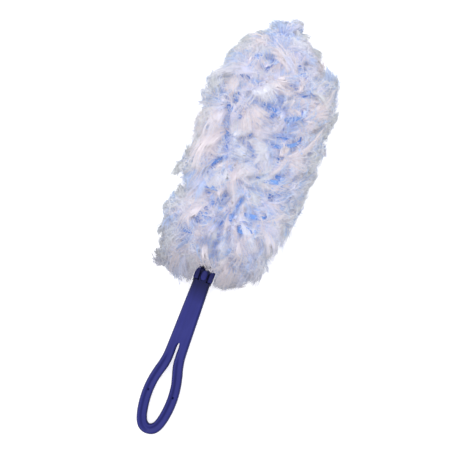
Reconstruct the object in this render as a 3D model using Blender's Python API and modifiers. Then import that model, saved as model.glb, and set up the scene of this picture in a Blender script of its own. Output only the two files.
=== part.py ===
"""Hand duster with a slip-on microfibre refill: a flat moulded grip with a hanging loop, a two-pronged
fork hinged to it at the neck, a press pad that frees the hinge, and a refill of layered fibre
sheets on both faces of a two-pocket sleeve.

Metres, +Z up. The duster lies on its lower fibres along +Y, the refill towards +Y and the loop
towards -Y. The loop's end and the lower fibres touch the plane z = 0.
The grip and the fork lie in one tilted plane, called the blade plane, which rises towards +Y.
"""

import math

import bmesh
import bpy
import numpy as np
from mathutils import Matrix, Vector

MM = 0.001
GAP = 0.4 * MM  # between pieces that touch

# --- driving dimensions, in millimetres unless named otherwise -----------------------------
NECK_Y = -39.25  # the neck's station along the duster, from the middle of its length
NECK_Z = 17.0  # height of the blade plane at the neck
GRIP_LENGTH = 136.8  # from the neck to the line where the loop's end meets the floor
STRAP_THICK = 5.0
# half widths of the grip, from the neck towards the loop's end
GRIP_EDGE = (
    (-4.3, 7.1), (-20.0, 7.6), (-44.0, 8.2), (-62.0, 8.7), (-70.0, 9.1),
    (-76.0, 10.1), (-84.0, 12.2), (-93.0, 14.0), (-101.0, 14.8), (-109.0, 14.8),
    (-117.0, 14.0), (-124.0, 12.6), (-130.0, 10.5), (-134.0, 7.7), (-136.3, 4.0),
    (-137.0, 0.0),
)  # fmt: skip
# half widths of the loop's hole, from its pointed end towards the loop's end
HOLE_EDGE = (
    (-57.6, 0.0), (-59.4, 0.5), (-67.0, 0.75), (-74.0, 1.05), (-79.0, 1.85),
    (-86.0, 3.8), (-93.0, 5.5), (-101.0, 6.3), (-109.0, 6.25), (-117.0, 5.35),
    (-123.2, 4.0), (-126.6, 2.5), (-128.2, 0.0),
)  # fmt: skip
PIN_Y = 4.2  # hinge axis, along the blade plane from the neck
KNUCKLE_HALF_W = 3.6
KNUCKLE_R = 3.3
KNUCKLE_BACK_Y = -5.8
STUB_R = 1.3
BORE_R = 1.4
YOKE_HALF_W = 8.1
YOKE_SLOT_HALF_W = 4.0
YOKE_HALF_T = 3.2
YOKE_BACK_Y = -3.6
YOKE_WEB_Y = (9.3, 14.0)
STOP_Y = (-6.8, 9.1)  # the plate under the knuckle, which keeps the grip from folding down
STOP_Z = (-4.9, -3.65)
PRONG_HALF_T = 1.6
PRONG_W = 5.0
PRONG_X = (5.9, 11.5)  # centre line at the root and along the straight run
PRONG_BEND_Y = (14.0, 36.0)
PRONG_TIP_Y = 166.0
BARB_Y = (62.0, 118.0)
PAD_SIZE = (4.8, 8.4)  # the press pad, across and along
PAD_Y = 0.9
PAD_TRAVEL = 1.0
SLEEVE_Y = (16.5, 184.0)
SLEEVE_HALF_W = 18.0
SLEEVE_T = 0.6
POCKET_X = (3.0, 16.8)
POCKET_HALF_H = 2.0
# half widths of the refill along its length, from the neck
REFILL_EDGE = (
    (-5.5, 0.0), (-4.0, 22.0), (-1.5, 32.0), (3.0, 37.0), (10.0, 42.0), (29.0, 45.5),
    (42.0, 48.0), (54.0, 50.5), (80.0, 51.5), (112.0, 52.8), (138.0, 52.2), (160.0, 49.4),
    (174.0, 45.6), (184.0, 40.5), (191.0, 34.5), (198.0, 26.0), (206.0, 15.0), (212.0, 7.5),
    (216.2, 0.0),
)  # fmt: skip
REFILL_UPPER_H = 27.0  # over the blade plane; below it the fibres reach the floor
NOTCH_HALF_W = 10.2
NOTCH_Y = 9.6
# the fibre layers, as how far in from the refill's outside each begins and ends
LAYERS = (
    ("tow_white_outer", 0.0, 7.0),
    ("tow_white_inner", 7.5, 13.0),
    ("slit_sheet", 13.5, 14.6),
    ("tow_blue", 15.1, None),
)

LOOP_REACH = math.hypot(GRIP_LENGTH, STRAP_THICK / 2)
TILT = math.asin(NECK_Z / LOOP_REACH) - math.atan2(STRAP_THICK / 2, GRIP_LENGTH)
BLADE = (
    Matrix.Translation(Vector((0, NECK_Y, NECK_Z)) * MM)
    @ Matrix.Rotation(TILT, 4, "X")
)

COLOURS = {
    "indigo": ((0.045, 0.05, 0.26, 1), 0.35),
    "white": ((0.86, 0.84, 0.92, 1), 0.9),
    "blue": ((0.30, 0.50, 0.88, 1), 0.9),
    "sheet": ((0.62, 0.76, 0.93, 1), 0.85),
}

for old in list(bpy.data.objects):
    bpy.data.objects.remove(old, do_unlink=True)

parts = bpy.data.collections.new("microfiber_duster")
cutters = bpy.data.collections.new("cutters")
for collection in (parts, cutters):
    bpy.context.scene.collection.children.link(collection)
cutters.hide_render = True


def material(name):
    found = bpy.data.materials.get(name)
    if found:
        return found
    colour, roughness = COLOURS[name]
    made = bpy.data.materials.new(name)
    made.use_nodes = True
    shader = made.node_tree.nodes["Principled BSDF"]
    shader.inputs["Base Color"].default_value = colour
    shader.inputs["Roughness"].default_value = roughness
    shader.inputs["Metallic"].default_value = 0.0
    made.diffuse_color = colour
    return made


def empty(name, matrix, parent=None):
    made = bpy.data.objects.new(name, None)
    made.empty_display_size = 0.01
    parts.objects.link(made)
    made.parent = parent
    made.matrix_basis = matrix
    return made


def add(name, mesh, parent=None, offset=(0, 0, 0), cutter=False, colour="indigo"):
    """An object made of mesh, whose points are in its parent's frame, with its origin moved to offset."""
    made = bpy.data.objects.new(name, mesh)
    (cutters if cutter else parts).objects.link(made)
    if any(offset):
        mesh.transform(Matrix.Translation(-Vector(offset)))
    made.parent = parent
    made.location = offset
    if cutter:
        made.hide_render = True
        made.display_type = "WIRE"
    else:
        mesh.materials.append(material(colour))
        mesh.shade_smooth()
        mesh.set_sharp_from_angle(angle=math.radians(32))
    return made


def smooth_edge(stations, count):
    """count points along a smooth line through (y, half width) stations, closely spaced at the ends."""
    table = np.array(stations, float)
    run = np.concatenate([[0], np.cumsum(np.hypot(*np.diff(table, axis=0).T))])
    wanted = run[-1] * (1 - np.cos(np.linspace(0, math.pi, count))) / 2
    wanted = 0.65 * np.linspace(0, run[-1], count) + 0.35 * wanted
    columns = []
    for end, values in zip((0, 1), table.T):
        slope = np.gradient(values, run)
        # a line that ends on the centre line meets it squarely, so the outline is round there
        for i, way in ((0, 1), (-1, -1)):
            if table[i, 1] == 0:
                slope[i] = end * way
        index = np.clip(np.searchsorted(run, wanted, side="right") - 1, 0, len(run) - 2)
        width = run[index + 1] - run[index]
        t = (wanted - run[index]) / width
        columns.append(
            (2 * t**3 - 3 * t**2 + 1) * values[index]
            + (t**3 - 2 * t**2 + t) * width * slope[index]
            + (-2 * t**3 + 3 * t**2) * values[index + 1]
            + (t**3 - t**2) * width * slope[index + 1]
        )
    return np.column_stack([columns[1], columns[0]])  # x, y


def both_sides(edge):
    """A closed outline from its right-hand half, which may start and end on the centre line."""
    left = edge[::-1] * (-1, 1)
    left = left[np.abs(left[:, 0]) > 1e-6]
    return np.vstack([edge, left])


def plate(name, outlines, low, high, **where):
    """A flat plate between two heights in mm, with the outlines' shape; inner outlines are holes."""
    curve = bpy.data.curves.new(name, "CURVE")
    curve.dimensions = "2D"
    curve.fill_mode = "BOTH"
    curve.extrude = (high - low) / 2 * MM
    for outline in outlines:
        spline = curve.splines.new("POLY")
        spline.points.add(len(outline) - 1)
        for point, (x, y) in zip(spline.points, outline):
            point.co = (x * MM, y * MM, 0, 1)
        spline.use_cyclic_u = True
    holder = bpy.data.objects.new(name + "_outline", curve)
    cutters.objects.link(holder)
    mesh = bpy.data.meshes.new_from_object(
        holder.evaluated_get(bpy.context.evaluated_depsgraph_get())
    )
    bpy.data.objects.remove(holder, do_unlink=True)
    bpy.data.curves.remove(curve)
    mesh.name = name
    shape = bmesh.new()
    shape.from_mesh(mesh)
    bmesh.ops.remove_doubles(shape, verts=shape.verts, dist=1e-6)
    bmesh.ops.translate(shape, verts=shape.verts, vec=(0, 0, (low + high) / 2 * MM))
    bmesh.ops.recalc_face_normals(shape, faces=shape.faces)
    shape.to_mesh(mesh)
    shape.free()
    return add(name, mesh, **where)


def box(name, low, high, **where):
    """A box between two corners in mm."""
    shape = bmesh.new()
    bmesh.ops.create_cube(shape, size=1)
    size, middle = Vector(high) - Vector(low), (Vector(high) + Vector(low)) / 2
    bmesh.ops.scale(shape, vec=size * MM, verts=shape.verts)
    bmesh.ops.translate(shape, vec=middle * MM, verts=shape.verts)
    mesh = bpy.data.meshes.new(name)
    shape.to_mesh(mesh)
    shape.free()
    return add(name, mesh, **where)


def rod(name, radius, x_low, x_high, y, z, sides=32, **where):
    """A cylinder along X between two stations in mm."""
    shape = bmesh.new()
    bmesh.ops.create_cone(
        shape, cap_ends=True, segments=sides, radius1=radius * MM, radius2=radius * MM,
        depth=(x_high - x_low) * MM,
    )  # fmt: skip
    bmesh.ops.rotate(shape, verts=shape.verts, matrix=Matrix.Rotation(math.pi / 2, 3, "Y"))
    bmesh.ops.translate(
        shape, verts=shape.verts, vec=Vector(((x_low + x_high) / 2, y, z)) * MM
    )
    mesh = bpy.data.meshes.new(name)
    shape.to_mesh(mesh)
    shape.free()
    return add(name, mesh, **where)


def boolean(obj, other, operation):
    step = obj.modifiers.new(operation.lower() + "_" + other.name, "BOOLEAN")
    step.operation = operation
    step.solver = "EXACT"
    step.object = other
    return step


def bevel(obj, width, segments=2, angle=40):
    step = obj.modifiers.new("rounded_edges", "BEVEL")
    step.width = width * MM
    step.segments = segments
    step.limit_method = "ANGLE"
    step.angle_limit = math.radians(angle)
    step.harden_normals = False
    return step


blade = empty("blade_plane", BLADE)
fork_axis = empty("fork_fold_axis", Matrix.Translation((0, PIN_Y * MM, 0)), blade)
from_pin = Matrix.Translation((0, -PIN_Y * MM, 0))

# --- grip: flat strap, teardrop loop, and the knuckle between the fork's ears -----------------
outer = both_sides(smooth_edge(GRIP_EDGE, 46))
hole = both_sides(smooth_edge(HOLE_EDGE, 34))
grip = plate("grip", [outer, hole], -STRAP_THICK / 2, STRAP_THICK / 2, parent=blade)
bevel(grip, 1.0, 2)

turn = np.linspace(0, math.pi, 13)
boss_y = KNUCKLE_BACK_Y + KNUCKLE_HALF_W
boss_outline = np.vstack(
    [
        [(KNUCKLE_HALF_W, PIN_Y)],
        np.column_stack(
            [KNUCKLE_HALF_W * np.cos(turn), boss_y - KNUCKLE_HALF_W * np.sin(turn)]
        ),
        [(-KNUCKLE_HALF_W, PIN_Y)],
    ]
)
boss = plate(
    "knuckle_boss", [boss_outline], -KNUCKLE_R, KNUCKLE_R, parent=blade, cutter=True
)
barrel = rod(
    "knuckle_barrel", KNUCKLE_R, -KNUCKLE_HALF_W, KNUCKLE_HALF_W, PIN_Y, 0,
    sides=40, parent=blade, cutter=True,
)  # fmt: skip
bore = rod(
    "knuckle_bore", BORE_R, -KNUCKLE_HALF_W - 1, KNUCKLE_HALF_W + 1, PIN_Y, 0,
    sides=28, parent=blade, cutter=True,
)  # fmt: skip


def oval(half_x, half_y, y, count=32):
    """A stadium-like outline, rounder at its ends than along its sides."""
    angle = np.linspace(0, 2 * math.pi, count, endpoint=False)
    cos, sin = np.cos(angle), np.sin(angle)
    return np.column_stack(
        [
            half_x * np.sign(cos) * np.abs(cos) ** 0.8,
            y + half_y * np.sign(sin) * np.abs(sin) ** 0.8,
        ]
    )


pad_pocket = plate(
    "pad_pocket", [oval(PAD_SIZE[0] / 2 + 0.3, PAD_SIZE[1] / 2 + 0.3, PAD_Y, 36)],
    1.75, 6.0, parent=blade, cutter=True,
)  # fmt: skip
boolean(grip, boss, "UNION")
boolean(grip, barrel, "UNION")
boolean(grip, bore, "DIFFERENCE")
boolean(grip, pad_pocket, "DIFFERENCE")

# --- press pad, which travels into the knuckle ------------------------------------------------
press_pad = plate(
    "press_pad", [oval(PAD_SIZE[0] / 2, PAD_SIZE[1] / 2, PAD_Y, 36)], 2.05 + PAD_TRAVEL,
    KNUCKLE_R + 0.9, parent=blade, offset=(0, PAD_Y * MM, KNUCKLE_R * MM),
)  # fmt: skip
bevel(press_pad, 0.35, 2, 60)

# --- fork: ears and stubs that hold the knuckle, a web, and two barbed prongs -----------------
ears = np.array(
    [
        (YOKE_SLOT_HALF_W, YOKE_WEB_Y[0]),
        (YOKE_SLOT_HALF_W, YOKE_BACK_Y),
        (YOKE_HALF_W - 0.5, YOKE_BACK_Y),
        (YOKE_HALF_W, YOKE_BACK_Y + 0.8),
        (YOKE_HALF_W, YOKE_WEB_Y[0] + 1.5),
        (YOKE_HALF_W - 1.6, YOKE_WEB_Y[1]),
    ]
)
fork = plate(
    "fork", [both_sides(ears)], -YOKE_HALF_T, YOKE_HALF_T, parent=blade
)
bevel(fork, 0.6, 2)


def prong_centre(y):
    t = np.clip((y - PRONG_BEND_Y[0]) / (PRONG_BEND_Y[1] - PRONG_BEND_Y[0]), 0, 1)
    return PRONG_X[0] + (PRONG_X[1] - PRONG_X[0]) * t * t * (3 - 2 * t)


def prong_outline(side):
    run = np.concatenate(
        [
            np.linspace(10.5, PRONG_BEND_Y[1], 12),
            np.linspace(PRONG_BEND_Y[1] + 6, PRONG_TIP_Y - 8, 44),
        ]
    )
    narrow = 1 - 0.3 * np.clip((run - 130) / (PRONG_TIP_Y - 130), 0, 1)
    half = PRONG_W / 2 * narrow
    barb = sum(1.1 * np.exp(-(((run - y) / 2.4) ** 2)) for y in BARB_Y)
    outer_x = prong_centre(run) + half + barb
    inner_x = prong_centre(run) - half
    end = prong_centre(PRONG_TIP_Y)
    reach, radius = PRONG_TIP_Y - run[-1], half[-1]
    angle = np.linspace(0, math.pi, 11)[1:-1]
    tip = np.column_stack([end + radius * np.cos(angle), run[-1] + reach * np.sin(angle)])
    outline = np.vstack(
        [
            np.column_stack([outer_x, run]),
            tip,
            np.column_stack([inner_x, run])[::-1],
        ]
    )
    return outline * (side, 1)


for label, side in (("right", 1), ("left", -1)):
    prong = plate(
        "prong_" + label, [prong_outline(side)], -PRONG_HALF_T, PRONG_HALF_T,
        parent=blade, cutter=True,
    )  # fmt: skip
    bevel(prong, 0.7, 2, 50)
    boolean(fork, prong, "UNION")
    stub = rod(
        "hinge_stub_" + label, STUB_R,
        *sorted((side * 2.3, side * (YOKE_SLOT_HALF_W + 1.5))), PIN_Y, 0,
        sides=28, parent=blade, cutter=True,
    )  # fmt: skip
    boolean(fork, stub, "UNION")

# a shallow channel under the knuckle, joined to the ears' lower faces
wall, plate_low, plate_high, top = YOKE_HALF_W - 0.35, *STOP_Z, -YOKE_HALF_T + 0.27
channel = np.array(
    [
        (YOKE_SLOT_HALF_W + 0.45, plate_high), (YOKE_SLOT_HALF_W + 0.45, top), (wall, top),
        (wall, plate_low + 0.4), (wall - 0.4, plate_low),
    ]
)  # fmt: skip
stop_plate = plate(
    "stop_plate", [both_sides(channel)], *STOP_Y, parent=blade, cutter=True
)
stop_plate.data.transform(Matrix(((1, 0, 0, 0), (0, 0, 1, 0), (0, 1, 0, 0), (0, 0, 0, 1))))
stop_plate.data.flip_normals()
boolean(fork, stop_plate, "UNION")

# --- refill --------------------------------------------------------------------------------
refill_axis = empty("refill_slide_axis", Matrix.Identity(4), blade)


def sleeve_profile():
    """Half of one sleeve sheet's section: flat seams at the middle and edge, a pocket between."""
    rise = 1.6
    pts = [
        (0, GAP / MM / 2),
        (POCKET_X[0] - rise, GAP / MM / 2),
        (POCKET_X[0] + 0.2, POCKET_HALF_H),
        (POCKET_X[1] - 2.2, POCKET_HALF_H),
        (POCKET_X[1] - 0.6, GAP / MM / 2),
        (SLEEVE_HALF_W, GAP / MM / 2),
    ]
    top = [(x + dx, z + SLEEVE_T) for (x, z), dx in zip(pts, (0, -0.2, -0.3, 0.2, 0.3, 0))]
    return np.array(pts + top[::-1])


def sleeve(name, up):
    half = sleeve_profile()
    outline = both_sides(half[(half[:, 0] > 0)])
    count = len(half) // 2 - 1
    inner, outer_line = half[1 : count + 1], half[count + 1 : -1]
    outline = np.vstack(
        [inner, outer_line, (outer_line * (-1, 1))[::-1], (inner * (-1, 1))[::-1]]
    )
    # drawn in XZ, so the plate is made flat and then stood up along Y
    made = plate(name, [outline], SLEEVE_Y[0], SLEEVE_Y[1], parent=refill_axis, colour="sheet")
    stand = Matrix(((1, 0, 0, 0), (0, 0, 1, 0), (0, up, 0, 0), (0, 0, 0, 1)))
    made.data.transform(stand)
    shape = bmesh.new()
    shape.from_mesh(made.data)
    bmesh.ops.recalc_face_normals(shape, faces=shape.faces)
    shape.to_mesh(made.data)
    shape.free()
    return made


sleeve("sleeve_sheet_upper", 1)
sleeve("sleeve_sheet_lower", -1)

EDGE_Y, EDGE_W = np.array(REFILL_EDGE).T
REFILL_MID = (EDGE_Y[0] + EDGE_Y[-1]) / 2
REFILL_HALF_L = (EDGE_Y[-1] - EDGE_Y[0]) / 2


def fullness(y):
    """How much of its full height the refill has at a station, from 0 at its ends to 1."""
    near = np.clip((y - EDGE_Y[0]) / 24, 0, 1)
    far = np.clip((EDGE_Y[-1] - y) / 66, 0, 1)
    return np.sqrt(near * (2 - near)) * (far * (2 - far)) ** 0.5


def refill_form(name, inset, up, cutter):
    """The refill's outer form shrunk by inset, as a body around the blade plane or one half of it."""
    shape = bmesh.new()
    bmesh.ops.create_uvsphere(shape, u_segments=28, v_segments=16, radius=1.0)
    shrink = (
        1 - inset / EDGE_W.max(),
        1 - inset / REFILL_HALF_L,
        1 - inset / REFILL_UPPER_H * 0.82,
    )
    for vert in shape.verts:
        across, height, along = vert.co  # the sphere's poles end up along Y
        y = REFILL_MID + REFILL_HALF_L * along
        ring = math.hypot(across, height)
        cos, sin = (across / ring, height / ring) if ring > 1e-9 else (0, 0)
        x = np.interp(y, EDGE_Y, EDGE_W) * math.copysign(abs(cos) ** 0.82, cos)
        floor = NECK_Z / math.cos(TILT) + y * math.sin(TILT) + 1.2
        tall = (REFILL_UPPER_H if sin > 0 else floor) * fullness(y)
        z = tall * math.copysign(abs(sin) ** 0.82, sin)
        y = REFILL_MID + (y - REFILL_MID) * shrink[1]
        vert.co = (x * shrink[0] * MM, y * MM, z * shrink[2] * MM)
    bmesh.ops.recalc_face_normals(shape, faces=shape.faces)
    if up:
        keep = bmesh.ops.bisect_plane(
            shape, geom=shape.verts[:] + shape.edges[:] + shape.faces[:],
            plane_co=(0, 0, up * GAP / 2), plane_no=(0, 0, up), clear_inner=True,
        )  # fmt: skip
        rim = [edge for edge in keep["geom_cut"] if isinstance(edge, bmesh.types.BMEdge)]
        bmesh.ops.contextual_create(shape, geom=rim)
        bmesh.ops.recalc_face_normals(shape, faces=shape.faces)
    mesh = bpy.data.meshes.new(name)
    shape.to_mesh(mesh)
    shape.free()
    colour = "white" if "white" in name else "blue" if "blue" in name else "sheet"
    return add(name, mesh, parent=refill_axis, cutter=cutter, colour=colour)


notch = box(
    "neck_notch", (-NOTCH_HALF_W, -40, -60), (NOTCH_HALF_W, NOTCH_Y, 60),
    parent=refill_axis, cutter=True,
)  # fmt: skip
core = box(
    "core_space", (-SLEEVE_HALF_W - 0.5, -40, -YOKE_HALF_T - 0.5),
    (SLEEVE_HALF_W + 0.5, SLEEVE_Y[1] + 0.5, YOKE_HALF_T + 0.5),
    parent=refill_axis, cutter=True,
)  # fmt: skip
under = box("floor_below", (-90, -200, -60), (90, 300, 0), cutter=True)

for label, up in (("upper", 1), ("lower", -1)):
    for layer, start, end in LAYERS:
        piece = refill_form(f"{layer}_{label}", start, up, False)
        if end is not None:
            inner_form = refill_form(f"inside_{layer}_{label}", end, 0, True)
            boolean(piece, inner_form, "DIFFERENCE")
        boolean(piece, core, "DIFFERENCE")
        boolean(piece, notch, "DIFFERENCE")
        if up < 0 and start == 0:
            boolean(piece, under, "DIFFERENCE")
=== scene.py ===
import math

import bmesh
import bpy
import numpy as np
from mathutils import Matrix, Vector


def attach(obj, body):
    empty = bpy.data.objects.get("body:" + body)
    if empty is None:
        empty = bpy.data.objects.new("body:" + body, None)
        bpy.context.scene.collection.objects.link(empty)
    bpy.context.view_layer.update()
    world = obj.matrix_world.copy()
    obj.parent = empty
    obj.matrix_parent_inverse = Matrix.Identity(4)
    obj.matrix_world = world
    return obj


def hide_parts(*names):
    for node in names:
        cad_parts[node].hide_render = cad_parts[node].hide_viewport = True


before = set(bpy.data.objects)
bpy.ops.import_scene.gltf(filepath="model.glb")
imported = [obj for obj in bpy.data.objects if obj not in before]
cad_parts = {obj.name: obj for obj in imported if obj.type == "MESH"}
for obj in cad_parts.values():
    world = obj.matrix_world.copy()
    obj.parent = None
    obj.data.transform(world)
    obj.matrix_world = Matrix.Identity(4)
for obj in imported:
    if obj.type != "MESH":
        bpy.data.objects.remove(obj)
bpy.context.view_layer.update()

MM = 0.001

# --- the blade plane: the tilted plane that the grip, the fork and the sleeve lie in ----------------
NECK_Y, NECK_Z = -39.25, 17.0
GRIP_LENGTH, STRAP_T = 136.8, 5.0
TILT = math.asin(NECK_Z / math.hypot(GRIP_LENGTH, STRAP_T / 2)) - math.atan2(
    STRAP_T / 2, GRIP_LENGTH
)
COS, SIN = math.cos(TILT), math.sin(TILT)
BLADE = Matrix.Translation(Vector((0, NECK_Y, NECK_Z)) * MM) @ Matrix.Rotation(TILT, 4, "X")


def to_world(points):
    """Points in mm on the blade plane's axes, as metres in the frame."""
    x, y, z = np.moveaxis(np.asarray(points, float), -1, 0)
    return (
        np.stack([x, NECK_Y + y * COS - z * SIN, NECK_Z + y * SIN + z * COS], -1) * MM
    )


# =============================================================================================
# Camera, light and floor
# =============================================================================================
LEAN = math.radians(20.3)  # the duster leans this much to the right of upright in the picture
DISTANCE = 1.35
PIXEL = 0.0008  # metres a pixel at the height of the blade plane
camera = bpy.data.objects.new("camera", bpy.data.cameras.new("camera"))
bpy.context.scene.collection.objects.link(camera)
camera.location = (0.0026, 0.0044, 0.019 + DISTANCE)
camera.rotation_euler = (0, 0, LEAN)
camera.data.sensor_width = 36
camera.data.lens = 36 * DISTANCE / (452 * PIXEL)
camera.data.clip_start, camera.data.clip_end = 0.01, 20
bpy.context.scene.camera = camera

world = bpy.data.worlds.new("studio")
bpy.context.scene.world = world
world.use_nodes = True
background = world.node_tree.nodes["Background"]
background.inputs["Color"].default_value = (0.97, 0.965, 1.0, 1)
background.inputs["Strength"].default_value = 0.98


def area_light(name, place, target, size, power, colour=(1, 1, 1)):
    data = bpy.data.lights.new(name, "AREA")
    data.shape = "DISK"
    data.size = size
    data.energy = power
    data.color = colour
    light = bpy.data.objects.new(name, data)
    bpy.context.scene.collection.objects.link(light)
    light.location = place
    light.rotation_euler = (Vector(target) - Vector(place)).to_track_quat("-Z", "Y").to_euler()
    return light


area_light("overhead", (-0.3, 0.6, 1.6), (0, 0.03, 0.02), 1.6, 9)
area_light("side", (-1.3, -0.2, 0.9), (0, 0, 0.02), 0.9, 2.8, (1.0, 0.98, 0.97))

floor_mesh = bpy.data.meshes.new("floor")
floor_mesh.from_pydata(
    [(-8, -8, 0), (8, -8, 0), (8, 8, 0), (-8, 8, 0)], [], [(0, 1, 2, 3)]
)
floor = bpy.data.objects.new("floor", floor_mesh)
bpy.context.scene.collection.objects.link(floor)

# light goes through many fibres before it leaves a tuft
bpy.context.scene.cycles.max_bounces = 20
bpy.context.scene.cycles.diffuse_bounces = 16

view = bpy.context.scene.view_settings
view.view_transform = "Standard"
view.look = "None"
view.exposure = 0.0
view.gamma = 1.0


# =============================================================================================
# Materials
# =============================================================================================
class Nodes:
    """A short way to write a material's node tree."""

    def __init__(self, name, **sockets):
        self.material = bpy.data.materials.new(name)
        self.material.use_nodes = True
        self.tree = self.material.node_tree
        self.shader = self.tree.nodes["Principled BSDF"]
        for socket, value in sockets.items():
            self.shader.inputs[socket.replace("_", " ")].default_value = value

    def add(self, kind, _links=None, **settings):
        node = self.tree.nodes.new("ShaderNode" + kind)
        for key, value in settings.items():
            if hasattr(node, key):
                setattr(node, key, value)
            else:
                node.inputs[key.replace("_", " ")].default_value = value
        for socket, source in (_links or {}).items():
            self.tree.links.new(source, node.inputs[socket])
        return node

    def ramp(self, source, stops, interpolation="LINEAR"):
        node = self.add("ValToRGB", {"Fac": source})
        node.color_ramp.interpolation = interpolation
        elements = node.color_ramp.elements
        while len(elements) > 1:
            elements.remove(elements[-1])
        elements[0].position, elements[0].color = stops[0][0], (*stops[0][1], 1)
        for place, colour in stops[1:]:
            elements.new(place).color = (*colour, 1)
        return node.outputs["Color"]

    def mix(self, kind, factor, a, b):
        node = self.tree.nodes.new("ShaderNodeMix")
        node.data_type = "RGBA"
        node.blend_type = kind
        for socket, value in ((0, factor), (6, a), (7, b)):
            if isinstance(value, bpy.types.NodeSocket):
                self.tree.links.new(value, node.inputs[socket])
            elif socket == 0:
                node.inputs[0].default_value = value
            else:
                node.inputs[socket].default_value = (*value, 1)
        return node.outputs[2]

    def coordinates(self):
        return self.add("TexCoord").outputs["Object"]

    def link(self, source, socket):
        self.tree.links.new(source, self.shader.inputs[socket])


def srgb(r, g, b):
    """Linear colour of an sRGB colour given as 0 to 255."""
    return tuple(
        v / 12.92 if (v := c / 255) <= 0.04045 else ((v + 0.055) / 1.055) ** 2.4
        for c in (r, g, b)
    )


def indigo_plastic(name, base, neck_painted_shadow=None):
    """Satin moulded plastic: a fine moulded grain, faint flow marks and a slightly uneven gloss. Painted
    shade darkens its rounded rims and the faces that turn to one side. neck_painted_shadow is the
    colour's share at the neck, a painted shadow that lifts to 1 along the strap."""
    n = Nodes(name, Roughness=0.36, Specular_IOR_Level=0.24)
    place = n.coordinates()
    cloud = n.add("TexNoise", {"Vector": place}, Scale=38.0, Detail=3.0, Roughness=0.55)
    colour = n.ramp(
        cloud.outputs["Fac"],
        [(0.3, srgb(*(c - 3 for c in base))), (0.55, srgb(*base)), (0.75, srgb(*(c + 4 for c in base)))],
    )
    flow = n.add(
        "Mapping", {"Vector": place}, vector_type="POINT", Scale=(420.0, 26.0, 200.0)
    )
    marks = n.add("TexNoise", {"Vector": flow.outputs["Vector"]}, Scale=1.0, Detail=2.0)
    tint = n.ramp(marks.outputs["Fac"], [(0.35, (0.93,) * 3), (0.65, (1.06,) * 3)])
    colour = n.mix("MULTIPLY", 1.0, colour, tint)
    # painted shade: the colour darkens where the surface turns away from a slightly tilted up direction, so the
    # rims and the faces that turn to one side look shaded
    facing = n.add("VectorMath", {0: n.add("TexCoord").outputs["Normal"]}, operation="DOT_PRODUCT")
    facing.inputs[1].default_value = Vector((-0.2, -SIN, COS)).normalized()
    level = n.add("Math", {0: facing.outputs["Value"]}, operation="ABSOLUTE")
    rims = n.ramp(
        level.outputs[0],
        [(0.3, (0.25, 0.28, 0.38)), (0.8, (0.34, 0.38, 0.6)), (0.92, (0.5, 0.56, 0.82)), (0.97, (1, 1, 1))],
    )
    colour = n.mix("MULTIPLY", 1.0, colour, rims)
    # painted shadow: the strap darkens towards the neck, where the fluff overhangs it
    if neck_painted_shadow:
        along = n.add("SeparateXYZ", {"Vector": place})
        strap = n.add(
            "MapRange", {"Value": along.outputs["Y"]}, From_Min=-0.062, From_Max=-0.047,
            To_Min=0.0, To_Max=1.0,
        )
        neck_painted_shade = n.ramp(strap.outputs["Result"], [(0.0, (1, 1, 1)), (1.0, neck_painted_shadow)])
        colour = n.mix("MULTIPLY", 1.0, colour, neck_painted_shade)
    n.link(colour, "Base Color")
    gloss = n.add(
        "MapRange", {"Value": cloud.outputs["Fac"]}, From_Min=0.3, From_Max=0.7, To_Min=0.31,
        To_Max=0.43,
    )
    n.link(gloss.outputs["Result"], "Roughness")
    grain = n.add("TexNoise", {"Vector": place}, Scale=2600.0, Detail=2.0, Roughness=0.6)
    bump = n.add(
        "Bump", {"Height": grain.outputs["Fac"]}, Strength=0.12, Distance=0.0001
    )
    n.link(bump.outputs["Normal"], "Normal")
    return n.material


# painted glow: the fibres' constant emission, which lifts their shade
FIBRE_PAINTED_GLOW = 0.18
TONES = 64  # steps of the strands' palette, along u of their map


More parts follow.
